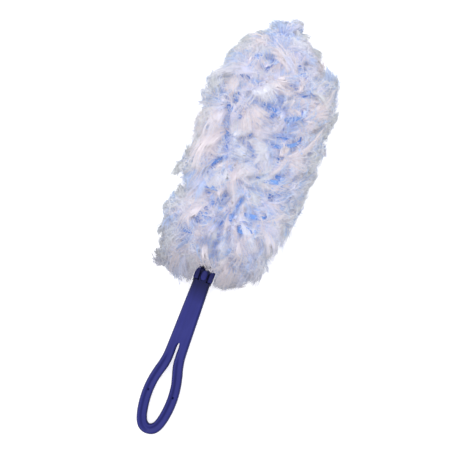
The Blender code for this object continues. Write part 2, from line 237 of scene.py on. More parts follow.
def fibre(name, tips, roots, streak=(0.955, 1.01)):
    """Crimped fibre. The map's u picks the bundle's own tone and v runs from its root to its tip;
    fine streaks run along v. Painted shade greys it round the refill's rim and darkens it towards
    the neck, and a painted glow lifts its shade."""
    n = Nodes(name, Roughness=0.85, Specular_IOR_Level=0.2)
    n.shader.inputs["Sheen Weight"].default_value = 0.12
    n.shader.inputs["Sheen Roughness"].default_value = 0.5
    place = n.add("UVMap", uv_map="OFBake")
    axes = n.add("SeparateXYZ", {"Vector": place.outputs["UV"]})
    step = n.add("Math", {0: axes.outputs["X"]}, operation="MULTIPLY")
    step.inputs[1].default_value = TONES
    whole = n.add("Math", {0: step.outputs[0]}, operation="FLOOR")
    tone = n.add("Math", {0: whole.outputs[0]}, operation="DIVIDE")
    tone.inputs[1].default_value = TONES - 1
    tip = n.ramp(tone.outputs[0], tips)
    root = n.ramp(tone.outputs[0], roots)
    own = n.add("TexWhiteNoise", {"W": whole.outputs[0]}, noise_dimensions="1D")
    own = n.ramp(own.outputs["Value"], [(0.0, (0.93, 0.935, 0.95)), (1.0, (1.03, 1.03, 1.03))])
    # the streaks: fine across the bundle, long along it
    lines = n.add("CombineXYZ", {"X": step.outputs[0], "Y": axes.outputs["Y"]})
    finer = n.add("Mapping", {"Vector": lines.outputs[0]}, Scale=(11.0, 1.6, 1.0))
    fine = n.add("TexNoise", {"Vector": finer.outputs[0]}, Scale=1.0, Detail=3.0, Roughness=0.65)
    broad = n.add("Mapping", {"Vector": lines.outputs[0]}, Scale=(3.1, 1.1, 1.0))
    wide = n.add("TexNoise", {"Vector": broad.outputs[0]}, Scale=1.0, Detail=1.0)
    # the root's colour reaches further up some fibres than others
    reach = n.add("Math", {0: axes.outputs["Y"], 1: wide.outputs["Fac"]}, operation="ADD")
    along = n.ramp(reach.outputs[0], [(0.72, (0, 0, 0)), (1.0, (1, 1, 1))], "EASE")
    colour = n.mix("MIX", along, root, tip)
    low, high = streak
    shade = n.ramp(
        fine.outputs["Fac"],
        [(0.32, (low * 0.97, low * 0.99, low * 1.02)), (0.64, (high, high, high))],
    )
    colour = n.mix("MULTIPLY", 1.0, colour, shade)
    colour = n.mix("MULTIPLY", 1.0, colour, own)
    # painted shade: greyer round the refill's rim, where the fibres thin out, and darker towards the neck
    place = n.coordinates()
    level = n.add("VectorMath", {0: place}, operation="DOT_PRODUCT")
    level.inputs[1].default_value = (0, -SIN, COS)
    height = n.add("Math", {0: level.outputs["Value"]}, operation="SUBTRACT")
    height.inputs[1].default_value = (NECK_Z * COS - NECK_Y * SIN) * MM
    off = n.add("Math", {0: height.outputs[0]}, operation="ABSOLUTE")
    where = n.add("SeparateXYZ", {"Vector": place})
    aside = n.add("Math", {0: where.outputs["X"]}, operation="ABSOLUTE")
    wide = n.add("Math", {0: aside.outputs[0]}, operation="ADD")
    wide.inputs[1].default_value = 0.004
    slope = n.add("Math", {0: off.outputs[0], 1: wide.outputs[0]}, operation="DIVIDE")
    rim_painted_shade = n.ramp(
        slope.outputs[0],
        [(0.0, (0.80, 0.82, 0.785)), (0.23, (0.87, 0.885, 0.855)), (0.34, (0.935, 0.94, 0.92)),
         (0.45, (0.98, 0.98, 0.97)), (0.7, (1, 1, 1))],
    )  # fmt: skip
    along = n.add(
        "MapRange", {"Value": where.outputs["Y"]}, From_Min=-0.045, From_Max=0.021, To_Min=0.0,
        To_Max=1.0,
    )  # fmt: skip
    neck_painted_shade = n.ramp(
        along.outputs["Result"],
        [(0.09, (0.58, 0.58, 0.6)), (0.27, (0.74, 0.74, 0.76)), (0.39, (0.81, 0.83, 0.86)),
         (0.53, (0.87, 0.885, 0.92)), (0.7, (0.945, 0.95, 0.98)), (0.9, (1, 1, 1))],
    )  # fmt: skip
    colour = n.mix("MULTIPLY", 1.0, colour, rim_painted_shade)
    n.link(n.mix("MULTIPLY", 1.0, colour, neck_painted_shade), "Base Color")
    # painted glow: a constant emission that stands in for the light a loose tuft passes on from fibre to fibre
    n.shader.inputs["Emission Color"].default_value = (0.89, 0.83, 0.91, 1)
    n.shader.inputs["Emission Strength"].default_value = FIBRE_PAINTED_GLOW
    bump = n.add("Bump", {"Height": fine.outputs["Fac"]}, Strength=0.5, Distance=0.0005)
    n.link(bump.outputs["Normal"], "Normal")
    return n.material


def nonwoven(name, base, dark):
    """Pressed fibre sheet: fine random fibres and the small diamond marks of its bonding."""
    n = Nodes(name, Roughness=0.75, Specular_IOR_Level=0.3)
    place = n.coordinates()
    stretch = n.add("Mapping", {"Vector": place}, Scale=(900.0, 260.0, 900.0))
    fibres = n.add(
        "TexNoise", {"Vector": stretch.outputs["Vector"]}, Scale=1.0, Detail=4.0, Roughness=0.7
    )
    colour = n.ramp(fibres.outputs["Fac"], [(0.35, dark), (0.62, base)])
    cells = n.add("TexVoronoi", {"Vector": place}, Scale=620.0)
    cells.feature = "DISTANCE_TO_EDGE"
    bonds = n.ramp(cells.outputs["Distance"], [(0.0, (0.9,) * 3), (0.12, (1.0,) * 3)])
    n.link(n.mix("MULTIPLY", 1.0, colour, bonds), "Base Color")
    bump = n.add("Bump", {"Height": fibres.outputs["Fac"]}, Strength=0.35, Distance=0.0002)
    n.link(bump.outputs["Normal"], "Normal")
    return n.material


def fibre_mass(name, base, dark):
    """The packed fibres under the tufts: streaks that run outwards from the seam."""
    n = Nodes(name, Roughness=0.9, Specular_IOR_Level=0.15)
    place = n.coordinates()
    turned = n.add("TexNoise", {"Vector": place}, Scale=60.0, Detail=2.0)
    bent = n.mix("ADD", 0.02, place, turned.outputs["Color"])
    stretch = n.add("Mapping", {"Vector": bent}, Scale=(160.0, 900.0, 700.0))
    streaks = n.add(
        "TexNoise", {"Vector": stretch.outputs["Vector"]}, Scale=1.0, Detail=5.0, Roughness=0.7
    )
    colour = n.ramp(streaks.outputs["Fac"], [(0.3, dark), (0.62, base)])
    n.link(colour, "Base Color")
    bump = n.add("Bump", {"Height": streaks.outputs["Fac"]}, Strength=0.8, Distance=0.0008)
    n.link(bump.outputs["Normal"], "Normal")
    return n.material


def floor_material():
    n = Nodes("pale_floor", Roughness=0.85, Specular_IOR_Level=0.1)
    place = n.coordinates()
    cloud = n.add("TexNoise", {"Vector": place}, Scale=3.0, Detail=2.0)
    colour = n.ramp(cloud.outputs["Fac"], [(0.3, (0.93,) * 3), (0.7, (0.95,) * 3)])
    n.link(colour, "Base Color")
    n.shader.inputs["Emission Color"].default_value = (1, 1, 1, 1)
    n.shader.inputs["Emission Strength"].default_value = 0.42
    return n.material


INDIGO = indigo_plastic("indigo_plastic", (41, 45, 118), neck_painted_shadow=(0.2, 0.27, 0.42))
# painted shade: the fork's copy of the plastic is darker, for the shade round the yoke
INDIGO_FORK_PAINTED_SHADE = indigo_plastic("indigo_plastic_fork_painted_shade", (33, 37, 104))
# painted light: the press pad's copy is a little lighter, and takes no painted shadow at the neck
INDIGO_PAD_PAINTED_LIGHT = indigo_plastic("indigo_plastic_pad_painted_light", (44, 48, 124))
floor_mesh.materials.append(floor_material())

# the palette's steps: white to 21, pinkish 23 to 33, lavender 35 to 40, blue 42 to 52, grey from 55
WHITE_TIPS = [
    (0.00, srgb(232, 233, 241)), (0.20, srgb(233, 236, 240)), (0.33, srgb(230, 232, 240)),
    (0.36, srgb(238, 229, 231)), (0.53, srgb(238, 233, 232)), (0.55, srgb(227, 227, 241)),
    (0.64, srgb(220, 225, 242)), (0.67, srgb(194, 213, 242)), (0.83, srgb(157, 193, 239)),
    (0.86, srgb(228, 230, 231)), (1.00, srgb(219, 225, 229)),
]  # fmt: skip
WHITE_ROOTS = [
    (0.00, srgb(219, 224, 244)), (0.33, srgb(212, 219, 244)), (0.36, srgb(232, 223, 236)),
    (0.53, srgb(228, 224, 239)), (0.57, srgb(207, 216, 245)), (0.64, srgb(197, 211, 245)),
    (0.67, srgb(163, 197, 245)), (0.83, srgb(131, 179, 241)), (0.86, srgb(215, 222, 232)),
    (1.00, srgb(210, 218, 231)),
]  # fmt: skip
BLUE_TIPS = [
    (0.00, srgb(211, 224, 244)), (0.5, srgb(183, 210, 244)), (1.00, srgb(147, 191, 241)),
]  # fmt: skip
BLUE_ROOTS = [(0.00, srgb(181, 207, 244)), (1.00, srgb(131, 181, 240))]
WHITE_FIBRE = fibre("white_fibre", WHITE_TIPS, WHITE_ROOTS)
BLUE_FIBRE = fibre("blue_fibre", BLUE_TIPS, BLUE_ROOTS)
MASS = fibre_mass("packed_fibre", srgb(204, 220, 251), srgb(170, 200, 248))
SLEEVE_SHEET = nonwoven("sleeve_nonwoven", srgb(226, 230, 242), srgb(196, 206, 232))
# the strips' own blue, deepened by painted shade for the strips that lie open in the gaps
STRIP_SHEET_BLUE_AND_SHADE = nonwoven("strip_nonwoven", srgb(145, 181, 236), srgb(108, 151, 224))


# =============================================================================================
# Mesh helpers
# =============================================================================================
def new_object(name, mesh):
    made = bpy.data.objects.new(name, mesh)
    bpy.context.scene.collection.objects.link(made)
    return made


def mesh_of(name, points, quads, smooth=True):
    """A mesh from world points and four-cornered faces, as arrays."""
    mesh = bpy.data.meshes.new(name)
    points, quads = np.asarray(points, np.float32), np.asarray(quads, np.int32)
    mesh.vertices.add(len(points))
    mesh.vertices.foreach_set("co", points.ravel())
    mesh.loops.add(quads.size)
    mesh.loops.foreach_set("vertex_index", quads.ravel())
    mesh.polygons.add(len(quads))
    mesh.polygons.foreach_set("loop_start", np.arange(0, quads.size, quads.shape[1]))
    if smooth:
        mesh.polygons.foreach_set("use_smooth", np.ones(len(quads), bool))
    mesh.update(calc_edges=True)
    return mesh


def smooth_edge(stations, count):
    """count points along a smooth line through (y, half width) stations, as the CAD part draws it."""
    table = np.array(stations, float)
    run = np.concatenate([[0], np.cumsum(np.hypot(*np.diff(table, axis=0).T))])
    wanted = run[-1] * (1 - np.cos(np.linspace(0, math.pi, count))) / 2
    wanted = 0.65 * np.linspace(0, run[-1], count) + 0.35 * wanted
    columns = []
    for end, values in zip((0, 1), table.T):
        slope = np.gradient(values, run)
        for i, way in ((0, 1), (-1, -1)):
            if table[i, 1] == 0:
                slope[i] = end * way
        index = np.clip(np.searchsorted(run, wanted, side="right") - 1, 0, len(run) - 2)
        width = run[index + 1] - run[index]
        t = (wanted - run[index]) / width
        columns.append(
            (2 * t**3 - 3 * t**2 + 1) * values[index]
            + (t**3 - 2 * t**2 + t) * width * slope[index]
            + (-2 * t**3 + 3 * t**2) * values[index + 1]
            + (t**3 - t**2) * width * slope[index + 1]
        )
    return np.column_stack([columns[1], columns[0]])


def smoothstep(t):
    t = np.clip(t, 0, 1)
    return t * t * (3 - 2 * t)


# =============================================================================================
# Grip, press pad and fork
# =============================================================================================
GRIP_EDGE = (
    (-4.3, 7.1), (-20.0, 7.6), (-44.0, 8.2), (-62.0, 8.7), (-70.0, 9.1),
    (-76.0, 10.1), (-84.0, 12.2), (-93.0, 14.0), (-101.0, 14.8), (-109.0, 14.8),
    (-117.0, 14.0), (-124.0, 12.6), (-130.0, 10.5), (-134.0, 7.7), (-136.3, 4.0),
    (-137.0, 0.0),
)  # fmt: skip
HOLE_EDGE = (
    (-57.6, 0.0), (-59.4, 0.5), (-67.0, 0.75), (-74.0, 1.05), (-79.0, 1.85),
    (-86.0, 3.8), (-93.0, 5.5), (-101.0, 6.3), (-109.0, 6.25), (-117.0, 5.35),
    (-123.2, 4.0), (-126.6, 2.5), (-128.2, 0.0),
)  # fmt: skip
PIN_Y, KNUCKLE_HALF_W, KNUCKLE_R, KNUCKLE_BACK_Y = 4.2, 3.6, 3.3, -5.8
STUB_R, BORE_R = 1.3, 1.4
PAD_SIZE, PAD_Y, PAD_TRAVEL = (4.8, 8.4), 0.9, 1.0
EDGE_R = 2.3  # rounding of the strap's rims


def grip_mesh():
    """The strap and its loop as one loft: stations along the strap, each a rounded section from the
    middle or the hole's rim out to the edge."""
    outer = smooth_edge(GRIP_EDGE, 150)
    hole = smooth_edge(HOLE_EDGE, 110)
    # stations of the solid strap, then of the loop; each pairs a point of the inner line with one
    # of the outer line
    start = HOLE_EDGE[0][0]
    strap = outer[outer[:, 1] > start + 0.4]
    loop = outer[outer[:, 1] <= start + 0.4]
    run = np.concatenate([[0], np.cumsum(np.hypot(*np.diff(loop, axis=0).T))])
    hole_run = np.concatenate([[0], np.cumsum(np.hypot(*np.diff(hole, axis=0).T))])
    # the loop's inner rim is shorter, so its points are spread to face the outer ones
    share = run / run[-1]
    inner_loop = np.column_stack(
        [np.interp(share, hole_run / hole_run[-1], hole[:, i]) for i in (0, 1)]
    )
    inner = np.vstack([np.column_stack([np.zeros(len(strap)), strap[:, 1]]), inner_loop])
    edge = np.vstack([strap, loop])
    count, first = len(edge), len(strap)
    steps = 26
    # the section's own stations: dense at both rims
    w = (1 - np.cos(np.linspace(0, math.pi, steps))) / 2
    span = np.hypot(*(edge - inner).T)[:, None]
    from_edge, from_inner = (1 - w) * span, w * span
    rim_in = np.clip((np.arange(count) - first) / 3.0, 0, 1)[:, None]

    def drop(distance, radius):
        d = np.clip(radius - distance, 0, radius)
        return radius - np.sqrt(np.maximum(radius**2 - d**2, 0))

    fall = drop(from_edge, EDGE_R) + rim_in * drop(from_inner, EDGE_R)
    # a shallow dish along the strap and the loop's arms
    middle = np.clip(1 - np.abs(2 * w - 1), 0, 1)
    in_loop = smoothstep((-edge[:, 1] - 66) / 12)[:, None]
    dish = in_loop * 0.8 * np.exp(-(((w - 0.5) * span / 1.9) ** 2)) * (middle > 0)
    half = STRAP_T / 2
    top = half - fall - dish
    bottom = -(half - fall)
    flat = inner[:, None] + (edge - inner)[:, None] * w[:, None]
    over = np.concatenate([flat, top[..., None]], 2)
    under = np.concatenate([flat, bottom[..., None]], 2)
    shape = bmesh.new()
    rows = {}
    for side in (1, -1):
        for label, sheet in (("over", over), ("under", under)):
            rows[side, label] = [
                [shape.verts.new((p[0] * side, p[1], p[2])) for p in row] for row in sheet
            ]
    for side in (1, -1):
        for label in ("over", "under"):
            grid = rows[side, label]
            for i in range(count - 1):
                for j in range(steps - 1):
                    face = [grid[i][j], grid[i][j + 1], grid[i + 1][j + 1], grid[i + 1][j]]
                    shape.faces.new(face)
        a, b = rows[side, "over"], rows[side, "under"]
        for i in range(count - 1):
            shape.faces.new([a[i][-1], b[i][-1], b[i + 1][-1], a[i + 1][-1]])
            if i >= first:  # the hole's wall, which starts where the hole does
                shape.faces.new([a[i][0], a[i + 1][0], b[i + 1][0], b[i][0]])
        for j in range(steps - 1):  # the neck's end
            shape.faces.new([a[0][j], b[0][j], b[0][j + 1], a[0][j + 1]])
    bmesh.ops.remove_doubles(shape, verts=shape.verts, dist=1e-4)
    bmesh.ops.dissolve_degenerate(shape, edges=shape.edges, dist=1e-4)
    bmesh.ops.recalc_face_normals(shape, faces=shape.faces)
    bmesh.ops.scale(shape, vec=(MM,) * 3, verts=shape.verts)
    mesh = bpy.data.meshes.new("grip_body")
    shape.to_mesh(mesh)
    shape.free()
    return mesh


def prism(name, outline, low, high, bevel=0.0, segments=3):
    """A closed prism of an outline in mm between two heights, with rounded rims."""
    shape = bmesh.new()
    ring = [shape.verts.new((x * MM, y * MM, low * MM)) for x, y in outline]
    base = shape.faces.new(ring)
    made = bmesh.ops.extrude_face_region(shape, geom=[base])
    tops = [v for v in made["geom"] if isinstance(v, bmesh.types.BMVert)]
    bmesh.ops.translate(shape, verts=tops, vec=(0, 0, (high - low) * MM))
    bmesh.ops.recalc_face_normals(shape, faces=shape.faces)
    if bevel:
        rims = [e for e in shape.edges if e.calc_face_angle(0) > math.radians(60)]
        bmesh.ops.bevel(
            shape, geom=rims, offset=bevel * MM, segments=segments, profile=0.5,
            affect="EDGES", clamp_overlap=True,
        )  # fmt: skip
    mesh = bpy.data.meshes.new(name)
    shape.to_mesh(mesh)
    shape.free()
    return new_object(name, mesh)


def rod(name, radius, low, high, y, z, sides=64):
    """A cylinder along X between two stations in mm."""
    shape = bmesh.new()
    bmesh.ops.create_cone(
        shape, cap_ends=True, segments=sides, radius1=radius * MM, radius2=radius * MM,
        depth=(high - low) * MM,
    )  # fmt: skip
    bmesh.ops.rotate(shape, verts=shape.verts, matrix=Matrix.Rotation(math.pi / 2, 3, "Y"))
    bmesh.ops.translate(shape, verts=shape.verts, vec=Vector(((low + high) / 2, y, z)) * MM)
    mesh = bpy.data.meshes.new(name)
    shape.to_mesh(mesh)
    shape.free()
    return new_object(name, mesh)


def cone(name, radius, middle, low, high):
    """A pit's cutter: a cone with its point down, which has the radius at its upper end."""
    shape = bmesh.new()
    bmesh.ops.create_cone(
        shape, cap_ends=True, segments=36, radius1=0.15 * MM, radius2=radius * MM,
        depth=(high - low) * MM,
    )  # fmt: skip
    bmesh.ops.translate(shape, verts=shape.verts, vec=Vector((*middle, (low + high) / 2)) * MM)
    mesh = bpy.data.meshes.new(name)
    shape.to_mesh(mesh)
    shape.free()
    return new_object(name, mesh)


def oval(half_x, half_y, y, count=64):
    angle = np.linspace(0, 2 * math.pi, count, endpoint=False)
    cos, sin = np.cos(angle), np.sin(angle)
    return np.column_stack(
        [
            half_x * np.sign(cos) * np.abs(cos) ** 0.8,
            y + half_y * np.sign(sin) * np.abs(sin) ** 0.8,
        ]
    )


def carve(base, steps):
    """Joins or cuts base with each (object, operation), in order, and removes those objects."""
    for other, operation in steps:
        step = base.modifiers.new("step", "BOOLEAN")
        step.operation = operation
        step.solver = "EXACT"
        step.object = other
    bpy.context.view_layer.update()
    graph = bpy.context.evaluated_depsgraph_get()
    mesh = bpy.data.meshes.new_from_object(base.evaluated_get(graph))
    base.modifiers.clear()
    base.data = mesh
    for other, _ in steps:
        bpy.data.objects.remove(other, do_unlink=True)
    return base


def finish_plastic(obj, material, angle=32):
    obj.data.transform(BLADE)
    obj.data.materials.clear()
    obj.data.materials.append(material)
    obj.data.shade_smooth()
    obj.data.set_sharp_from_angle(angle=math.radians(angle))


def make_grip():
    grip = new_object("grip_moulding", grip_mesh())
    turn = np.linspace(0, math.pi, 34)  # even, so that no corner meets the strap's middle line
    wide = KNUCKLE_HALF_W - 0.25
    back = KNUCKLE_BACK_Y + wide
    boss_outline = np.vstack(
        [
            [(wide, PIN_Y)],
            np.column_stack([wide * np.cos(turn), back - wide * np.sin(turn)]),
            [(-wide, PIN_Y)],
        ]
    )
    boss = prism("boss", boss_outline, -KNUCKLE_R, KNUCKLE_R, 0.55, 4)
    barrel = rod("barrel", KNUCKLE_R, -wide, wide, PIN_Y, 0)
    bore = rod("bore", BORE_R, -KNUCKLE_HALF_W - 1, KNUCKLE_HALF_W + 1, PIN_Y, 0, 48)
    pocket = prism(
        "pocket", oval(PAD_SIZE[0] / 2 + 0.42, PAD_SIZE[1] / 2 + 0.42, PAD_Y), 1.75, 6.0
    )
    steps = [
        (boss, "UNION"), (barrel, "UNION"), (bore, "DIFFERENCE"), (pocket, "DIFFERENCE"),
    ]  # fmt: skip
    for side in (1, -1):  # the small ejector marks in the loop's arms
        pit = cone("mark", 1.2, (side * 10.6, -101.9), 0.7, 1.95)
        steps.append((pit, "DIFFERENCE"))
    carve(grip, steps)
    finish_plastic(grip, INDIGO)
    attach(grip, "grip")
    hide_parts("grip")
    return grip


def make_pad():
    """The press pad, with a low crowned top."""
    outline = oval(PAD_SIZE[0] / 2, PAD_SIZE[1] / 2, PAD_Y, 72)
    centre = np.array([0, PAD_Y])
    low, high = 2.05 + PAD_TRAVEL, KNUCKLE_R + 0.9
    # rings from the bottom's middle, up the side, over a rounded rim and across the crown
    profile = [(0.0, low), (1.0, low), (1.0, high - 0.55)]
    profile += [
        (1 - 0.16 * (1 - math.cos(a)), high - 0.55 + 0.33 * math.sin(a))
        for a in np.linspace(0.2, math.pi / 2, 6)
    ]
    profile += [(s, high - 0.22 + 0.22 * (1 - (s / 0.84) ** 2)) for s in (0.7, 0.5, 0.3, 0.12)]
    shape = bmesh.new()
    rings = []
    for share, z in profile:
        if share == 0:
            rings.append([shape.verts.new((0, PAD_Y * MM, z * MM))])
            continue
        ring = centre + (outline - centre) * share
        rings.append([shape.verts.new((x * MM, y * MM, z * MM)) for x, y in ring])
    rings.append([shape.verts.new((0, PAD_Y * MM, high * MM))])
    for a, b in zip(rings, rings[1:]):
        for i in range(72):
            j = (i + 1) % 72
            if len(a) == 1:
                shape.faces.new([a[0], b[j], b[i]])
            elif len(b) == 1:
                shape.faces.new([a[i], a[j], b[0]])
            else:
                shape.faces.new([a[i], a[j], b[j], b[i]])
    bmesh.ops.recalc_face_normals(shape, faces=shape.faces)
    mesh = bpy.data.meshes.new("press_pad_crowned")
    shape.to_mesh(mesh)
    shape.free()
    pad = new_object("press_pad_crowned", mesh)
    finish_plastic(pad, INDIGO_PAD_PAINTED_LIGHT, 40)
    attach(pad, "press_pad")
    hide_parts("press_pad")


make_grip()
make_pad()
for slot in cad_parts["fork"].material_slots:
    slot.material = INDIGO_FORK_PAINTED_SHADE

# =============================================================================================
# Refill: the sleeve's two sheets, the strips, and the fibres
# =============================================================================================
# half widths along the refill from the neck, left and right, and the outline's two ends
SIDE_Y = np.array(
    [-5.5, -4, -1.5, 3, 10, 22, 36, 50, 58, 66, 76, 94, 112, 126, 138, 148, 156, 166, 178, 186, 192,
     198, 204, 210, 214, 216.5]
)  # fmt: skip
LEFT_W = np.array(
    [0, 38.5, 40.5, 39.5, 39.5, 42, 47, 49, 41, 37, 49.5, 45, 47, 45.5, 53, 51.5, 35.5, 43.5, 40,
     35, 30, 23, 14.5, 11, 7, 0]
)  # fmt: skip
RIGHT_W = np.array(
    [0, 14, 21, 26.5, 34, 46, 39.5, 48, 52, 53.5, 54, 52.5, 55, 56.5, 50.5, 53, 53, 47, 49.5, 24,
     25, 19, 8.5, 3.5, 2, 0]
)  # fmt: skip
Y0, Y1 = SIDE_Y[0], SIDE_Y[-1]
UPPER_H = 25.5
POWER = 2 / 0.82
SEAM_X = -3.2
NOTCH_X, NOTCH_Y = 8.6, 9.4


def half_widths(x, y):
    return np.where(x < 0, np.interp(y, SIDE_Y, LEFT_W), np.interp(y, SIDE_Y, RIGHT_W))


def floor_depth(y):
    """How far below the blade plane the floor is, at a station."""
    return NECK_Z / COS + y * SIN


def fullness(y):
    near = np.clip((y - Y0) / 24, 0, 1)
    far = np.clip((Y1 - y) / 66, 0, 1)
    return np.sqrt(near * (2 - near)) * np.sqrt(far * (2 - far))


def form(points, inset=0.0):
    """The refill's form as a number at each point: 1 on its surface, less inside it."""
    x, y, z = np.moveaxis(points, -1, 0)
    inside = np.clip(y, Y0 + 0.05, Y1 - 0.05)
    width = half_widths(x, inside)
    full = fullness(inside)
    seam = np.exp(-(((x - SEAM_X) / 5.5) ** 2)) * (1 - smoothstep((inside - 40) / 90))
    upper = UPPER_H * full * (1 - 0.34 * seam)
    lower = (floor_depth(inside) + 1.0) * full
    height = np.where(z > 0, upper, lower)
    width, height = np.maximum(width - inset, 0.5), np.maximum(height - inset, 0.5)
    value = ((np.abs(x) / width) ** POWER + (np.abs(z) / height) ** POWER) ** (1 / POWER)
    beyond = np.maximum(Y0 + inset - y, 0) + np.maximum(y - Y1 + inset, 0)
    return value + 10.0 * beyond


def seen(px, py):
    """The places on the form's upper side, in mm on the blade plane's axes, that the camera sees at
    points of its 452 by 452 picture."""
    u, v = np.asarray(px, float) - 226, 226 - np.asarray(py, float)
    across = u * math.cos(LEAN) - v * math.sin(LEAN)
    up = u * math.sin(LEAN) + v * math.cos(LEAN)
    y, z = np.full(u.shape, 90.0), np.full(u.shape, 20.0)
    for _ in range(8):
        above = (NECK_Z + y * SIN + z * COS) * MM
        scale = PIXEL * (DISTANCE + 0.019 - above) / DISTANCE / MM
        x = 2.6 + across * scale
        y = (4.4 + up * scale - NECK_Y + z * SIN) / COS
        inside = np.clip(y, Y0 + 0.05, Y1 - 0.05)
        full = fullness(inside)
        seam = np.exp(-(((x - SEAM_X) / 5.5) ** 2)) * (1 - smoothstep((inside - 40) / 90))
        flat = np.clip(1 - (np.abs(x) / np.maximum(half_widths(x, inside), 0.5)) ** POWER, 0, 1)
        z = UPPER_H * full * (1 - 0.34 * seam) * flat ** (1 / POWER)
    return np.stack([x, y, z], -1)


def spine(points):
    """The place on the refill's middle line that each point is measured from."""
    base = np.zeros_like(points)
    base[..., 1] = np.clip(points[..., 1], 30, 150)
    return base


def to_surface(points, inset=0.0):
    """Points moved along their line from the spine onto the form, and those lines' directions."""
    base = spine(points)
    way = points - base
    way /= np.maximum(np.linalg.norm(way, axis=-1, keepdims=True), 1e-6)
    low, high = np.zeros(points.shape[:-1]), np.full(points.shape[:-1], 110.0)
    for _ in range(20):
        middle = (low + high) / 2
        inside = form(base + way * middle[..., None], inset) < 1
        low, high = np.where(inside, middle, low), np.where(inside, high, middle)
    return base + way * low[..., None], way


def spread_points(count, spacing, fixed=None, tries=26000, seed=1, keep=lambda p: p[:, 0] > -1e9):
    """Points on the form's surface, no two nearer than spacing, as many as count."""
    rng = np.random.default_rng(seed)
    raw = np.column_stack(
        [
            rng.uniform(-56, 56, tries),
            rng.uniform(Y0 - 2, Y1 + 2, tries),
            rng.uniform(-34, 30, tries),
        ]
    )
    cand, _ = to_surface(raw)
    cand = cand[keep(cand)]
    chosen = [] if fixed is None else [p for p in fixed]
    kept = len(chosen)
    grid = np.array(chosen) if chosen else np.zeros((0, 3))
    for p in cand:
        if len(grid) and np.min(((grid - p) ** 2).sum(1)) < spacing**2:
            continue
        grid = np.vstack([grid, p])
        if len(grid) - kept >= count:
            break
    return grid[kept:]


def unit(v):
    return v / np.maximum(np.linalg.norm(v, axis=-1, keepdims=True), 1e-9)


def outward(points):
    """The direction along the surface that leads away from the seam, fanning out at both ends."""
    seam = np.zeros_like(points)
    seam[..., 0] = SEAM_X * (points[..., 1] < 90)
    seam[..., 1] = 20 + (np.clip(points[..., 1], 0, 200)) * 0.72
    seam[..., 2] = 4 * np.sign(points[..., 2])
    return points - seam


U = np.linspace(0, 1, 11)


class Petals:
    """Flat fans of fibre, the bundles that a tuft is made of, one row of each array a petal. Each
    leaves its root along its tuft's axis and bends over by tilt, widens on the way, and has a
    rounded, ridged section and a ragged tip. All in mm on the blade plane's axes."""

    def __init__(self, root, axis, radial, tilt, length, wide, thick, droop, curl, cup, seed):
        rng = np.random.default_rng(seed)
        count = self.count = len(root)
        self.length, self.wide, self.thick, self.cup = length, wide, thick, cup
        theta = tilt[:, None] * (0.35 + 0.65 * U**1.2) + droop[:, None] * U**2
        turn = curl[:, None] * U**2
        third = np.cross(axis, radial)
        out = radial[:, None] * np.cos(turn)[..., None] + third[:, None] * np.sin(turn)[..., None]
        self.tangent = axis[:, None] * np.cos(theta)[..., None] + out * np.sin(theta)[..., None]
        step = (length / (len(U) - 1))[:, None, None]
        middle = (self.tangent[:, 1:] + self.tangent[:, :-1]) / 2 * step
        self.line = root[:, None] + np.concatenate(
            [np.zeros((count, 1, 3)), np.cumsum(middle, 1)], 1
        )
        across = np.cross(np.broadcast_to(axis[:, None], out.shape), out)
        across -= (across * self.tangent).sum(-1, keepdims=True) * self.tangent
        self.across = unit(across)
        self.face = np.cross(self.tangent, self.across)
        self.waves = rng.uniform((3, 7, 11, 16), (7, 11, 16, 24), (count, 4))
        self.phase = rng.uniform(0, 2 * math.pi, (count, 4))
        self.power = rng.uniform(0.4, 1.0, (count, 4)) * (0.30, 0.22, 0.16, 0.12)
        self.rag = rng.uniform(0, 2 * math.pi, (count, 3))

    def tip(self, own, a):
        """Where the petal ends at each place across it, as a share of its length."""
        rag = self.rag[own]
        return (
            1
            - 0.20 * a**2
            + 0.05 * np.sin(6 * a + rag[..., 0])
            + 0.05 * np.sin(13 * a + rag[..., 1])
            + 0.03 * np.sin(23 * a + rag[..., 2])
        )

    def read(self, owner, t, a, side=1.0, lift=0.0, narrow=1.0):
        """Points at t along (1 is the tip) and a across (-1 to 1), on the upper face where side is
        1 and on the lower where it is -1, and lift mm off it."""
        own = owner.reshape(-1, *([1] * (t.ndim - 1)))
        spot = np.clip(t, 0, 1) * (len(U) - 1)
        index = np.minimum(spot.astype(int), len(U) - 2)
        part = (spot - index)[..., None]

        def pick(field):
            return field[own, index] * (1 - part) + field[own, index + 1] * part

        past = (np.maximum(t - 1, 0) * self.length[own])[..., None]
        centre = pick(self.line) + past * self.tangent[own, -1]
        across, face = unit(pick(self.across)), unit(pick(self.face))
        wide = self.wide[own] * narrow * (0.15 + 0.85 * np.clip(t, 0, 1.2) ** 0.8)
        bell = np.sqrt(np.clip(1 - a**2, 0, 1))
        fall = np.sqrt(np.clip(1 - np.clip((t - 0.45) / 0.57, 0, 1) ** 3, 0.02, 1))
        tall = self.thick[own] * (0.4 + 0.6 * smoothstep(t / 0.45)) * fall
        ridge = 0
        for k in range(4):
            ridge = ridge + self.power[own, k] * np.sin(
                self.waves[own, k] * a + self.phase[own, k] + 1.1 * np.sin(2.2 * t + k)
            )
        rise = tall * bell * (1 + 0.1 * side) + ridge * bell * (0.25 + 0.75 * t) * fall
        rise = np.maximum(rise, 0.02)
        height = -self.cup[own] * wide * a**2 + side * rise + side * lift
        return centre + across * (wide * a)[..., None] + face * height[..., None]


